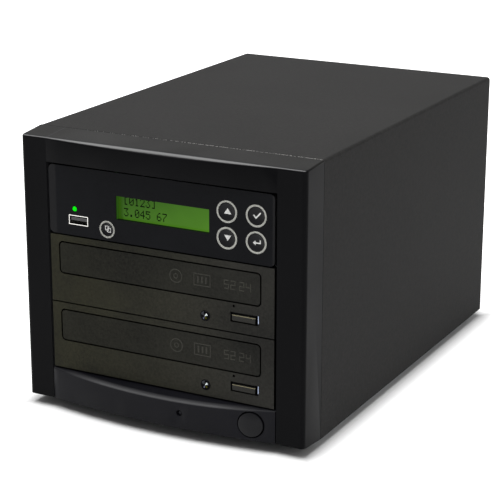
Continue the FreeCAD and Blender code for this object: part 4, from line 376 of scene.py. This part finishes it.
def lit_display():
    """The lit display: yellow-green, darker along its left end, brighter to the right and below."""
    material, tree = graph("lit_display")
    place, x, y, z = row_place(tree)
    across = spread(tree, x, WINDOW_LEFT * MM, WINDOW_RIGHT * MM, 0.0, 0.65)
    down = spread(tree, z, WINDOW_HIGH * MM, WINDOW_LOW * MM, 0.0, 0.35)
    cloud = spread(tree, noise(tree, place, 60.0), 0.3, 0.7, -0.08, 0.08)
    level = reckon(tree, "ADD", reckon(tree, "ADD", across, down), cloud)
    lit = between(tree, level, (0.024, 0.080, 0.006), (0.066, 0.194, 0.013))
    past_end = rising(tree, x, WINDOW_LEFT + 2.4, WINDOW_LEFT + 3.4)
    surface(tree, {
        "Base Color": opaque((0.004, 0.010, 0.002)), "Roughness": 0.25, "Specular IOR Level": 0.05,
        "Emission Color": between(tree, past_end, (0.024, 0.080, 0.004), lit), "Emission Strength": 1.0})
    return material


def lamp_plastic():
    """Clear lamps: the status lamp is lit green, the lower lamp is off."""
    material, tree = graph("lamp_plastic")
    place, x, y, z = row_place(tree)
    upper = rising(tree, z, LAMPS_DIVIDE, LAMPS_DIVIDE + 1.0)
    core = spread(tree, noise(tree, place, 900.0), 0.3, 0.7, 0.85, 1.0)
    glow = between(tree, product(tree, upper, core), (0.0, 0.0, 0.0), (0.002, 0.85, 0.004))
    shade = between(tree, upper, (0.028, 0.028, 0.032), (0.001, 0.12, 0.002))
    surface(tree, {
        "Base Color": shade, "Roughness": 0.4, "Specular IOR Level": 0.03, "Emission Color": glow,
        "Emission Strength": 1.0})
    return material


# Drive fronts

LENS_X = 30.0
LENS_RISE = 6.8
# Where the painted glow of the window at the end of the eject button begins, across and above the drive's
# base
LIGHT_WINDOW_LEFT = 63.45
LIGHT_WINDOW_RISE = 7.1
# Heights above a drive's base of the painted highlight on the eject button's bevel
PAINTED_GLINT_LOW = 9.75
PAINTED_GLINT_HIGH = 10.00
# Black of the painted shade in the gaps and recesses of the drive fronts
PAINTED_SHADE_BLACK = (0.0015, 0.0015, 0.0015)


def drive_finish(name, dark, light, specular):
    """Textured drive plastic, greyer to the right, with painted shade: black behind the face so gaps read as
    deep.
    """
    material, tree = graph(name)
    place, x, y, z = row_place(tree)
    fine, level = grain(tree, place, 800.0, 4.0, 0.7)
    grey = between(tree, level, (dark[0], dark[1], 0.8 * dark[0]), (light[0], light[1], 0.85 * light[0]))
    face = between(tree, rising(tree, x, -50.0, 60.0), between(tree, level, dark, light), grey)
    # Painted shade: everything behind the face is black
    painted_shade_mask = rising(tree, y, FACE_Y + 0.10, FACE_Y + 0.35)
    surface(tree, {
        "Base Color": between(tree, painted_shade_mask, face, PAINTED_SHADE_BLACK), "Roughness": gloss(tree, level, 0.48, 0.62),
        "Normal": relief(tree, fine, 0.05), "Specular IOR Level": specular})
    return material


def eject_with_painted_glint():
    """Eject button plastic with a painted brass-coloured highlight along its bevelled top edge, and painted
    shade in black behind the face.
    """
    material, tree = graph("eject_plastic")
    place, x, y, z = row_place(tree)
    fine = noise(tree, place, 1300.0, 3.0, 0.6)
    level = spread(tree, fine, 0.3, 0.7, 0.0, 1.0)
    base = between(tree, level, (0.0045, 0.0043, 0.0032), (0.0170, 0.0160, 0.0120))
    rise = drive_height(tree, z)
    # Painted highlight: a brass-coloured band along the bevel
    painted_glint = product(tree, rising(tree, rise, PAINTED_GLINT_LOW, PAINTED_GLINT_LOW + 0.15),
                    falling(tree, rise, PAINTED_GLINT_HIGH, PAINTED_GLINT_HIGH + 0.15))
    face = between(tree, painted_glint, base, (0.27, 0.24, 0.13))
    # Painted shade: black behind the face
    painted_shade_mask = rising(tree, y, FACE_Y + 1.05, FACE_Y + 1.25)
    surface(tree, {
        "Base Color": between(tree, painted_shade_mask, face, PAINTED_SHADE_BLACK), "Roughness": gloss(tree, level, 0.30, 0.42),
        "Normal": relief(tree, fine, 0.03), "Specular IOR Level": 0.15})
    return material


def lens_plastic():
    """Clear plastic of the small round lens and of the window at the end of the eject button, whose upper
    right part has a painted glow.
    """
    material, tree = graph("lens_plastic")
    place, x, y, z = row_place(tree)
    # Painted glow: the upper right part of the window is given a bright colour and emission
    over = rising(tree, drive_height(tree, z), LIGHT_WINDOW_RISE, LIGHT_WINDOW_RISE + 0.3)
    pale = product(tree, over, rising(tree, x, LIGHT_WINDOW_LEFT, LIGHT_WINDOW_LEFT + 0.15))
    cloud = noise(tree, place, 700.0)
    dark = between(tree, cloud, (0.002, 0.002, 0.003), (0.005, 0.005, 0.007))
    bright = between(tree, cloud, (0.42, 0.50, 0.72), (0.58, 0.66, 0.86))
    surface(tree, {
        "Base Color": between(tree, pale, dark, bright), "Roughness": 0.25, "Specular IOR Level": 0.10,
        "Emission Color": bright, "Emission Strength": product(tree, pale, 0.22)})
    return material


def lens_painted_reflections():
    """Painted reflections in the round lens: four sectors of different colours, one a white highlight, on
    black.
    """
    material, tree = graph("lens_painted_reflections")
    place, x, y, z = row_place(tree)
    up = reckon(tree, "SUBTRACT", drive_height(tree, z), LENS_RISE * MM)
    aside = reckon(tree, "SUBTRACT", x, LENS_X * MM)
    squares = reckon(tree, "ADD", product(tree, up, up), product(tree, aside, aside))
    out = reckon(tree, "SQRT", squares)
    wander = spread(tree, noise(tree, place, 900.0), 0.3, 0.7, -0.15, 0.15)
    turn = reckon(tree, "ADD", reckon(tree, "ARCTAN2", up, aside), wander)
    share = spread(tree, turn, -math.pi, math.pi, 0.0, 1.0)
    ramp = add(tree, "ShaderNodeValToRGB", {0: share})
    # Colours of the painted reflections
    black, grey, blue = (0.0004, 0.0004, 0.0008), (0.045, 0.048, 0.054), (0.20, 0.21, 0.32)
    olive, white = (0.075, 0.070, 0.006), (0.90, 0.98, 0.98)
    stops = ((0.0, black), (0.14, black), (0.16, blue), (0.21, blue), (0.23, black), (0.28, black),
             (0.30, olive), (0.41, olive), (0.43, black), (0.53, black), (0.55, white), (0.65, white),
             (0.67, black), (0.78, black), (0.80, grey), (0.91, grey), (0.93, black))
    steps = ramp.color_ramp.elements
    for step, (at, colour) in zip(steps, (stops[0], stops[-1])):
        step.position = at
        step.color = opaque(colour)
    for at, colour in stops[1:-1]:
        steps.new(at).color = opaque(colour)
    reach = spread(tree, share, 0.74, 0.79, 1.85 * MM, 2.60 * MM)
    outside = rising(tree, reckon(tree, "SUBTRACT", out, reach), 0.0, 0.15)
    surface(tree, {
        "Base Color": between(tree, outside, ramp.outputs[0], black), "Roughness": 0.3,
        "Specular IOR Level": 0.02})
    return material


# The finishes, and the finish of each node of the frame

cover_coat = powder_coat()
rear_coat = grained("rear_paint", (0.024, 0.024, 0.024), (0.046, 0.046, 0.045), 1900.0, 0.7, 0.09,
                    specular=0.1)
zinc = brushed("zinc_steel", (0.45, 0.46, 0.47), (0.68, 0.69, 0.70), (1.0, 0.06, 1.0), 0.38)
bezel_plastic = bezel_with_painted_light()
lower_plastic = lower_panel_with_painted_highlight()
panel_plastic = panel_with_painted_light()
drive_plastic = drive_finish("drive_plastic", (0.0052, 0.0050, 0.0022), (0.0280, 0.0272, 0.0150), 0.09)
tray_face_plastic = drive_finish("tray_face_plastic", (0.0034, 0.0034, 0.0020), (0.0225, 0.0222, 0.0160),
                                 0.07)
tray_plastic = grained("tray_plastic", (0.030, 0.030, 0.030), (0.050, 0.050, 0.050), 1700.0, 0.45, 0.03)
mark_plastic = grained("mark_plastic", (0.0120, 0.0118, 0.0090), (0.0420, 0.0415, 0.0330), 1300.0, 0.42, 0.04,
                       specular=0.12)
eject_plastic = eject_with_painted_glint()
key_plastic = grained("key_plastic", (0.0035, 0.0035, 0.0045), (0.0065, 0.0065, 0.0080), 2500.0, 0.28, 0.006,
                      specular=0.10)
ring_paint = grained("ring_paint", (0.36, 0.36, 0.33), (0.47, 0.47, 0.43), 2600.0, 0.5, 0.01, specular=0.3)
white_print = grained("white_print", (0.70, 0.70, 0.68), (0.82, 0.82, 0.80), 2600.0, 0.55, 0.01)
button_plastic = grained("button_plastic", (0.0020, 0.0020, 0.0028), (0.0040, 0.0040, 0.0052), 2500.0, 0.26,
                         0.006, specular=0.13)
screen = lit_display()
ink = grained("display_ink", (0.001, 0.004, 0.001), (0.003, 0.009, 0.002), 2600.0, 0.6, 0.003, specular=0.02)
frame_paint = grained("black_frame", (0.012, 0.012, 0.012), (0.022, 0.022, 0.022), 1900.0, 0.45, 0.02)
board = circuit_board()
nickel = grained("nickel", (0.58, 0.57, 0.54), (0.76, 0.75, 0.72), 1500.0, 0.22, 0.006, metallic=1.0)
tongue_plastic = grained("tongue_plastic", (0.012, 0.012, 0.012), (0.024, 0.024, 0.024), 2000.0, 0.4, 0.01)
dark_plastic = grained("dark_plastic", (0.014, 0.014, 0.015), (0.028, 0.028, 0.030), 1800.0, 0.42, 0.03)
collar_plastic = grained("collar_plastic", (0.0008, 0.0008, 0.0008), (0.0020, 0.0020, 0.0020), 1800.0, 0.5,
                         0.02, specular=0.03)
bright_wire = grained("bright_wire", (0.60, 0.60, 0.60), (0.80, 0.80, 0.80), 1300.0, 0.20, 0.006,
                      metallic=1.0)
foot_rubber = grained("foot_rubber", (0.010, 0.010, 0.010), (0.022, 0.022, 0.022), 1500.0, 0.85, 0.08,
                      specular=0.2)
screw_steel = brushed("screw_steel", (0.45, 0.45, 0.46), (0.72, 0.72, 0.72), (1.0, 1.0, 1.0), 0.32)
wire_sleeve = grained("wire_sleeve", (0.012, 0.012, 0.013), (0.030, 0.030, 0.032), 1200.0, 0.5, 0.03)
cast_metal = grained("cast_sled", (0.35, 0.35, 0.35), (0.55, 0.55, 0.55), 1300.0, 0.42, 0.05, metallic=1.0)
gear_plastic = grained("gear_plastic", (0.68, 0.66, 0.60), (0.80, 0.78, 0.72), 900.0, 0.45, 0.02)
lamp_finish = lamp_plastic()
lens_finish = lens_plastic()
painted_lens_reflections = lens_painted_reflections()

FINISHES = {
    "cover": cover_coat, "rear_panel": rear_coat, "base_pan": zinc, "front_frame": zinc,
    "front_bezel": bezel_plastic, "lower_front_panel": lower_plastic, "control_panel": panel_plastic,
    "display_glass": frame_paint, "display_frame": frame_paint, "panel_board": board, "usb_shell": nickel,
    "usb_tongue": tongue_plastic, "indicator_lamps": lamp_finish, "controller_board": board,
    "controller_tray": zinc, "power_button": button_plastic, "power_switch": dark_plastic,
    "drive_brackets": zinc, "power_supply_case": zinc, "supply_insides": board, "mains_inlet": dark_plastic,
    "switch_body": dark_plastic, "power_rocker": dark_plastic, "supply_fan_rotor": dark_plastic,
    "fan_frame": dark_plastic, "fan_rotor": dark_plastic, "fan_guard": bright_wire,
    "rubber_feet": foot_rubber, "screws": screw_steel, "wiring": wire_sleeve, "drive_lenses": lens_finish,
    "drive_boards": board, "disc_clamps": zinc,
}
DRIVE_FINISHES = {
    "_drive_case": zinc, "_drive_lid": zinc, "_drive_front": drive_plastic, "_tray": tray_plastic,
    "_tray_front": tray_face_plastic, "_eject_button": eject_plastic, "_loader_frame": dark_plastic,
    "_traverse": zinc, "_turntable": dark_plastic, "_laser_sled": cast_metal, "_loading_gear": gear_plastic,
}
for side in DRIVE_BASES:
    for ending, finish in DRIVE_FINISHES.items():
        FINISHES[side + ending] = finish
for name in ("up", "down", "enter", "back", "copy"):
    FINISHES["key_" + name] = key_plastic

for name, node in nodes.items():
    node.data.materials.clear()
    node.data.materials.append(FINISHES[name])


# Forms that the added pieces are made of

def piece(name, body, finish, slot, points, faces, sharp=35.0):
    """A mesh piece that rides on a body; points are in millimetres."""
    mesh = bpy.data.meshes.new(name)
    mesh.from_pydata([Vector(point) * MM for point in points], [], faces)
    mesh.validate()
    mesh.shade_smooth()
    mesh.set_sharp_from_angle(angle=math.radians(sharp))
    made = bpy.data.objects.new(name, mesh)
    scene.collection.objects.link(made)
    made.data.materials.append(finish)
    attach(made, body)
    return made


def circle(centre, radius, count=48):
    """Points round a centre."""
    turns = [2 * math.pi * place / count for place in range(count)]
    return [(centre[0] + radius * math.cos(turn), centre[1] + radius * math.sin(turn)) for turn in turns]


def rectangle(left, right, low, high):
    """The four corners, from the low left one round."""
    return [(left, low), (right, low), (right, high), (left, high)]


def turned(centre, profile, segments=72):
    """A form turned round a line along Y: points and faces of a profile of (radius, y) pairs."""
    points, faces, rings = [], [], []
    for radius, y in profile:
        ring = circle(centre, radius, segments) if radius else [centre]
        rings.append(range(len(points), len(points) + len(ring)))
        points += [(x, y, z) for x, z in ring]
    for first, second in zip(rings, rings[1:]):
        for place in range(segments):
            ahead = (place + 1) % segments
            if len(first) == 1:
                faces.append((first[0], second[place], second[ahead]))
            elif len(second) == 1:
                faces.append((first[place], second[0], first[ahead]))
            else:
                faces.append((first[place], second[place], second[ahead], first[ahead]))
    return points, faces


def offset_line(line, width, closed):
    """Left and right edges of a mitred band along a line of (x, z) points."""
    count = len(line)
    left, right = [], []
    for place in range(count):
        here = Vector(line[place])
        ways = []
        if closed or place > 0:
            ways.append((here - Vector(line[place - 1])).normalized())
        if closed or place < count - 1:
            ways.append((Vector(line[(place + 1) % count]) - here).normalized())
        normals = [Vector((-way.y, way.x)) for way in ways]
        middle = (normals[0] + normals[-1]).normalized()
        reach = width / 2 / max(middle.dot(normals[0]), 0.35)
        left.append(here + middle * reach)
        right.append(here - middle * reach)
    return left, right


def raised_band(line, width, y, height, closed=False):
    """A band with bevelled shoulders that stands on the plane at y, towards the front."""
    left, right = offset_line(line, width, closed)
    high_left, high_right = offset_line(line, width / 2, closed)
    points, faces = [], []
    for a, b, c, d in zip(left, high_left, high_right, right):
        points += [(a.x, y, a.y), (b.x, y - height, b.y), (c.x, y - height, c.y), (d.x, y, d.y)]
    count = len(line)
    for place in range(count if closed else count - 1):
        ahead = (place + 1) % count
        for row in range(3):
            faces.append((4 * place + row, 4 * ahead + row, 4 * ahead + row + 1, 4 * place + row + 1))
    if not closed:
        last = 4 * (count - 1)
        faces += [(0, 1, 2, 3), (last + 3, last + 2, last + 1, last)]
    return points, faces


def raised_patch(outline, y, height, edge):
    """A flat-topped patch with bevelled sides on the plane at y."""
    sides = offset_line(outline, 2 * edge, True)
    centre = sum((Vector(point) for point in outline), Vector((0.0, 0.0))) / len(outline)
    inner = min(sides, key=lambda side: sum((point - centre).length for point in side))
    points = [(x, y, z) for x, z in outline] + [(point.x, y - height, point.y) for point in inner]
    count = len(outline)
    faces = []
    for place in range(count):
        ahead = (place + 1) % count
        faces.append((place, ahead, count + ahead, count + place))
    faces.append(tuple(range(count, 2 * count)))
    return points, faces


def joined(parts):
    """Points and faces of several forms as one."""
    points, faces = [], []
    for some_points, some_faces in parts:
        shift = len(points)
        points += some_points
        faces += [tuple(corner + shift for corner in face) for face in some_faces]
    return points, faces


# Keys: dished caps with printed signs, and the pale rings round them

KEY_SUNK = 0.3
KEY_DISH = ((0.0, 0.78), (0.45, 0.70), (0.70, 0.46), (0.86, 0.16), (0.94, 0.02), (0.98, 0.06), (1.0, 0.24))
KEY_FLANGE = 0.55
FLANGE_FRONT = FACE_Y + 2.8
FLANGE_BACK = FACE_Y + 3.6
STEM_RADIUS = 1.6
STEM_END = FACE_Y + 3.9
RING_GAP = 0.15
RING_FOOT = FACE_Y + 0.05
RING_SHOULDER = FACE_Y - 0.18
RING_FACE = FACE_Y - 0.26
RING_REACHES = {"up": 1.3, "down": 1.3, "enter": 1.3, "back": 1.3, "copy": 1.2}
PRINT = 0.03
PRINT_EDGE = 0.05

SIGNS = {
    "up": [raised_patch([(-2.3, -1.5), (2.3, -1.5), (0.0, 1.9)], 0.0, PRINT, PRINT_EDGE)],
    "down": [raised_patch([(-2.3, 1.5), (0.0, -1.9), (2.3, 1.5)], 0.0, PRINT, PRINT_EDGE)],
    "enter": [raised_band([(-2.2, 0.1), (-0.7, -1.5), (2.3, 1.7)], 0.85, 0.0, PRINT)],
    "back": [raised_band([(2.0, 1.4), (2.0, -0.5), (-1.0, -0.5)], 0.75, 0.0, PRINT),
             raised_patch([(-2.6, -0.5), (-0.9, -1.9), (-0.9, 0.9)], 0.0, PRINT, PRINT_EDGE)],
    "copy": [raised_band(rectangle(-1.7, 0.4, -0.6, 1.7), 0.42, 0.0, PRINT, True),
             raised_band(rectangle(-0.4, 1.7, -1.7, 0.6), 0.42, 0.0, PRINT, True)],
}


def dish_y(share):
    """Depth of the dished cap at a share of its radius."""
    for (near, near_depth), (far, far_depth) in zip(KEY_DISH, KEY_DISH[1:]):
        if share <= far:
            part = (share - near) / (far - near)
            return FACE_Y + KEY_SUNK + near_depth + part * (far_depth - near_depth)
    return FACE_Y + KEY_SUNK + KEY_DISH[-1][1]


def laid_in_dish(form, centre, radius):
    """A printed sign brought down onto the cap's dish."""
    points, faces = form
    laid = []
    for x, y, z in points:
        share = min(math.hypot(x, z) / radius, 1.0)
        laid.append((centre[0] + x, dish_y(share) + y, centre[1] + z))
    return laid, faces


def key_cap(centre, radius):
    """The dished cap, its flange behind the panel and its stem."""
    profile = [(share * radius, FACE_Y + KEY_SUNK + depth) for share, depth in KEY_DISH]
    flange = radius + KEY_FLANGE
    profile += [(radius, FLANGE_FRONT), (flange, FLANGE_FRONT), (flange, FLANGE_BACK),
                (STEM_RADIUS, FLANGE_BACK), (STEM_RADIUS, STEM_END), (0.0, STEM_END)]
    return turned(centre, profile)


def key_ring(centre, radius, reach):
    """The pale ring on the panel round a key's hole."""
    inner = radius + RING_GAP
    outer = radius + reach
    profile = [(inner, RING_FOOT), (inner + 0.1, RING_SHOULDER), (inner + 0.35, RING_FACE),
               (outer - 0.35, RING_FACE), (outer - 0.1, RING_SHOULDER), (outer, RING_FOOT)]
    return turned(centre, profile)


for name, reach in RING_REACHES.items():
    body = "key_" + name
    low, high = corners(body)
    centre = ((low[0] + high[0]) / 2, (low[2] + high[2]) / 2)
    radius = (high[0] - low[0]) / 2 - KEY_FLANGE
    cap = piece(body + "_cap", body, key_plastic, "key_plastic", *key_cap(centre, radius))
    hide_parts(body)
    sign = joined(laid_in_dish(form, centre, radius) for form in SIGNS[name])
    piece(body + "_sign", body, white_print, "key_plastic", *sign)
    piece(body + "_ring", "case", ring_paint, "key_plastic", *key_ring(centre, radius, reach))


# Display: the lit screen and its dot characters, each of seven rows of five dots, read as bits

GLYPHS = {
    "0": (14, 17, 19, 21, 25, 17, 14), "1": (4, 12, 4, 4, 4, 4, 14), "2": (14, 17, 1, 2, 4, 8, 31),
    "3": (31, 2, 4, 2, 1, 17, 14), "4": (2, 6, 10, 18, 31, 2, 2), "5": (31, 16, 30, 1, 1, 17, 14),
    "6": (6, 8, 16, 30, 17, 17, 14), "7": (31, 1, 2, 4, 8, 8, 8), "[": (14, 8, 8, 8, 8, 8, 14),
    "]": (14, 2, 2, 2, 2, 2, 14), ".": (0, 0, 0, 0, 0, 12, 12), " ": (0, 0, 0, 0, 0, 0, 0),
}
DOT_COLUMNS = 5
DOT_WIDTH = 0.60
DOT_HEIGHT = 0.70
CHARACTER_PITCH = 3.65
TEXT_ROWS = (("[0123]", 138.75), ("3.045 67", 131.9))
TEXT_LEFT = -24.7
SCREEN_OVERLAP_X = 0.3
SCREEN_OVERLAP_Z = 1.3


def screen_plate():
    """A thin bevelled plate that reaches a little past the window on every side."""
    outline = rectangle(WINDOW_LEFT - SCREEN_OVERLAP_X, WINDOW_RIGHT + SCREEN_OVERLAP_X,
                        WINDOW_LOW - SCREEN_OVERLAP_Z, WINDOW_HIGH + SCREEN_OVERLAP_Z)
    return raised_patch(outline, GLASS_Y + 0.02, 0.12, 0.08)


def dot_characters():
    """Every lit dot of the two rows, each a small bevelled patch."""
    parts = []
    for text, top in TEXT_ROWS:
        for place, letter in enumerate(text):
            for row, bits in enumerate(GLYPHS[letter]):
                for column in range(DOT_COLUMNS):
                    if not bits >> (DOT_COLUMNS - 1 - column) & 1:
                        continue
                    x = TEXT_LEFT + place * CHARACTER_PITCH + column * DOT_WIDTH
                    z = top - row * DOT_HEIGHT
                    dot = rectangle(x, x + DOT_WIDTH, z - DOT_HEIGHT, z)
                    parts.append(raised_patch(dot, GLASS_Y - 0.10, 0.03, 0.03))
    return joined(parts)


piece("display_screen", "case", screen, "display", *screen_plate())
piece("display_characters", "case", ink, "display", *dot_characters())


# Drive fronts: lens domes with their collars, and the raised marks on the tray fronts

DOME_PROFILE = [(0.0, FACE_Y - 0.80), (1.1, FACE_Y - 0.74), (2.0, FACE_Y - 0.56), (2.7, FACE_Y - 0.32),
                (2.94, FACE_Y - 0.05)]
DOME_SEGMENTS = 16
DOME_SHARP = 8.0
COLLAR_PROFILE = [(2.88, FACE_Y + 0.02), (2.92, FACE_Y - 0.10), (3.22, FACE_Y - 0.10), (3.26, FACE_Y + 0.02)]
MARK_Y = FACE_Y + 0.02
MARK_HEIGHT = 0.16
MARK_RISE = 27.7
DIGITS = {
    "2": [[(0, 4), (2, 4), (2, 2), (0, 2), (0, 0), (2, 0)]],
    "4": [[(0, 4), (0, 2), (2, 2)], [(2, 4), (2, 0)]],
    "5": [[(2, 4), (0, 4), (0, 2), (2, 2), (2, 0), (0, 0)]],
}
DIGIT_WIDTH = 2.7
DIGIT_HEIGHT = 4.8
DIGIT_PITCH = 4.2
DIGITS_LEFT = 42.4
PAIR_GAP = 1.4


def mark(line, width, closed=False):
    """One raised band on a tray front."""
    return raised_band(line, width, MARK_Y, MARK_HEIGHT, closed)


def digit(name, x, z):
    """The strokes of one digit, from a grid of two by four."""
    strokes = []
    for stroke in DIGITS[name]:
        strokes.append([(x + a * DIGIT_WIDTH / 2, z + b * DIGIT_HEIGHT / 4) for a, b in stroke])
    return strokes


def tray_marks(base):
    """Three shallow raised marks: a disc, framed bars, and plain numbers."""
    middle = base + MARK_RISE
    disc = (11.0, middle)
    parts = [mark(circle(disc, 3.9), 0.7, True), mark(circle(disc, 1.3), 0.6, True)]
    parts.append(mark(rectangle(22.9, 33.3, middle - 3.4, middle + 3.4), 0.6, True))
    for place in range(3):
        x = 25.5 + 2.6 * place
        parts.append(mark([(x, middle - 1.9), (x, middle + 1.9)], 1.1))
    for place, name in enumerate("5224"):
        gap = PAIR_GAP if place > 1 else 0.0
        x = DIGITS_LEFT + DIGIT_PITCH * place + gap
        parts += [mark(stroke, 0.7) for stroke in digit(name, x, middle - DIGIT_HEIGHT / 2)]
    return joined(parts)


for side, base in DRIVE_BASES.items():
    lens = (LENS_X, base + LENS_RISE)
    dome = turned(lens, DOME_PROFILE, DOME_SEGMENTS)
    piece(side + "_lens_dome", "case", painted_lens_reflections, "lens_plastic", *dome, sharp=DOME_SHARP)
    piece(side + "_lens_collar", "case", collar_plastic, "dark_plastic", *turned(lens, COLLAR_PROFILE))
    piece(side + "_tray_marks", side + "_tray", mark_plastic, "drive_plastic", *tray_marks(base))


# Softer edges on the moulded pieces that show

SOFT_EDGES = {"front_bezel": 0.35, "lower_front_panel": 0.3, "control_panel": 0.4, "power_button": 0.6}
for side in DRIVE_BASES:
    SOFT_EDGES[side + "_tray_front"] = 0.3
    SOFT_EDGES[side + "_eject_button"] = 0.2


def soften(name, width):
    """A small bevel on a piece's sharp edges."""
    node = nodes[name]
    weld = node.modifiers.new("weld", "WELD")
    weld.merge_threshold = 0.01 * MM
    bevel = node.modifiers.new("bevel", "BEVEL")
    bevel.width = width * MM
    bevel.segments = 2
    bevel.limit_method = "ANGLE"
    bevel.angle_limit = math.radians(50.0)
    bevel.harden_normals = True


for name, width in SOFT_EDGES.items():
    soften(name, width)


# Floor, world and lamps

FLOOR_REACH = 12.0
FADE_HALF_WIDTH = 94.9
FADE_REAR_Y = 145.0
WHITE = opaque((1.0, 1.0, 1.0))


def rays_seen(tree):
    """One for rays from the camera, from mirrors and through clear pieces, nought for the rest."""
    rays = add(tree, "ShaderNodeLightPath").outputs
    seen = reckon(tree, "ADD", rays["Is Camera Ray"], rays["Is Glossy Ray"])
    made = add(tree, "ShaderNodeMath", {0: seen, 1: rays["Is Transmission Ray"]}, operation="ADD",
               use_clamp=True)
    return made.outputs[0]


def pale_floor():
    """A pale floor that keeps the object's shadow close to it and goes over to white further out."""
    material, tree = graph("pale_floor")
    place, x, y, z = row_place(tree)
    colour = between(tree, noise(tree, place, 300.0), (0.80, 0.80, 0.80), (0.84, 0.84, 0.84))
    diffuse = add(tree, "ShaderNodeBsdfDiffuse", {"Color": colour})
    ahead = product(tree, depth_behind_bulge(tree, x, y), -1.0)
    aside = reckon(tree, "SUBTRACT", reckon(tree, "ABSOLUTE", x), FADE_HALF_WIDTH * MM)
    behind = reckon(tree, "SUBTRACT", y, FADE_REAR_Y * MM)
    out = reckon(tree, "MAXIMUM", reckon(tree, "MAXIMUM", ahead, aside), behind)
    near_fade = spread(tree, out, -1.0 * MM, 10.0 * MM, 0.0, 0.75)
    far_fade = spread(tree, out, 10.0 * MM, 120.0 * MM, 0.0, 0.25)
    strength = product(tree, rays_seen(tree), reckon(tree, "ADD", near_fade, far_fade))
    lift = add(tree, "ShaderNodeEmission", {"Color": WHITE, "Strength": strength})
    finish_with(tree, add(tree, "ShaderNodeAddShader", {0: diffuse.outputs[0], 1: lift.outputs[0]}))
    return material


floor_mesh = bpy.data.meshes.new("floor")
floor_corners = rectangle(-FLOOR_REACH, FLOOR_REACH, -FLOOR_REACH, FLOOR_REACH)
floor_mesh.from_pydata([(x, y, 0.0) for x, y in floor_corners], [], [(0, 1, 2, 3)])
floor = bpy.data.objects.new("floor", floor_mesh)
scene.collection.objects.link(floor)
floor.data.materials.append(pale_floor())

world = bpy.data.worlds.new("studio")
scene.world = world
world.use_nodes = True
tree = world.node_tree
tree.nodes.clear()
strength = spread(tree, rays_seen(tree), 0.0, 1.0, 0.25, 1.0)
background = add(tree, "ShaderNodeBackground", {"Color": WHITE, "Strength": strength})
add(tree, "ShaderNodeOutputWorld", {"Surface": background.outputs[0]})


def area_lamp(name, place, target, size, power):
    """A square soft lamp that looks at a place; places and sizes are in metres."""
    data = bpy.data.lights.new(name, "AREA")
    data.size = size
    data.energy = power
    lamp = bpy.data.objects.new(name, data)
    scene.collection.objects.link(lamp)
    lamp.location = place
    lamp.rotation_mode = "QUATERNION"
    lamp.rotation_quaternion = (Vector(target) - Vector(place)).to_track_quat("-Z", "Y")


LAMP_TARGET = (0.0, 0.0, 0.1)
area_lamp("overhead", (-0.12, -0.42, 1.8), LAMP_TARGET, 1.6, 40.0)
area_lamp("right", (1.7, -0.3, 1.0), LAMP_TARGET, 1.0, 3.0)
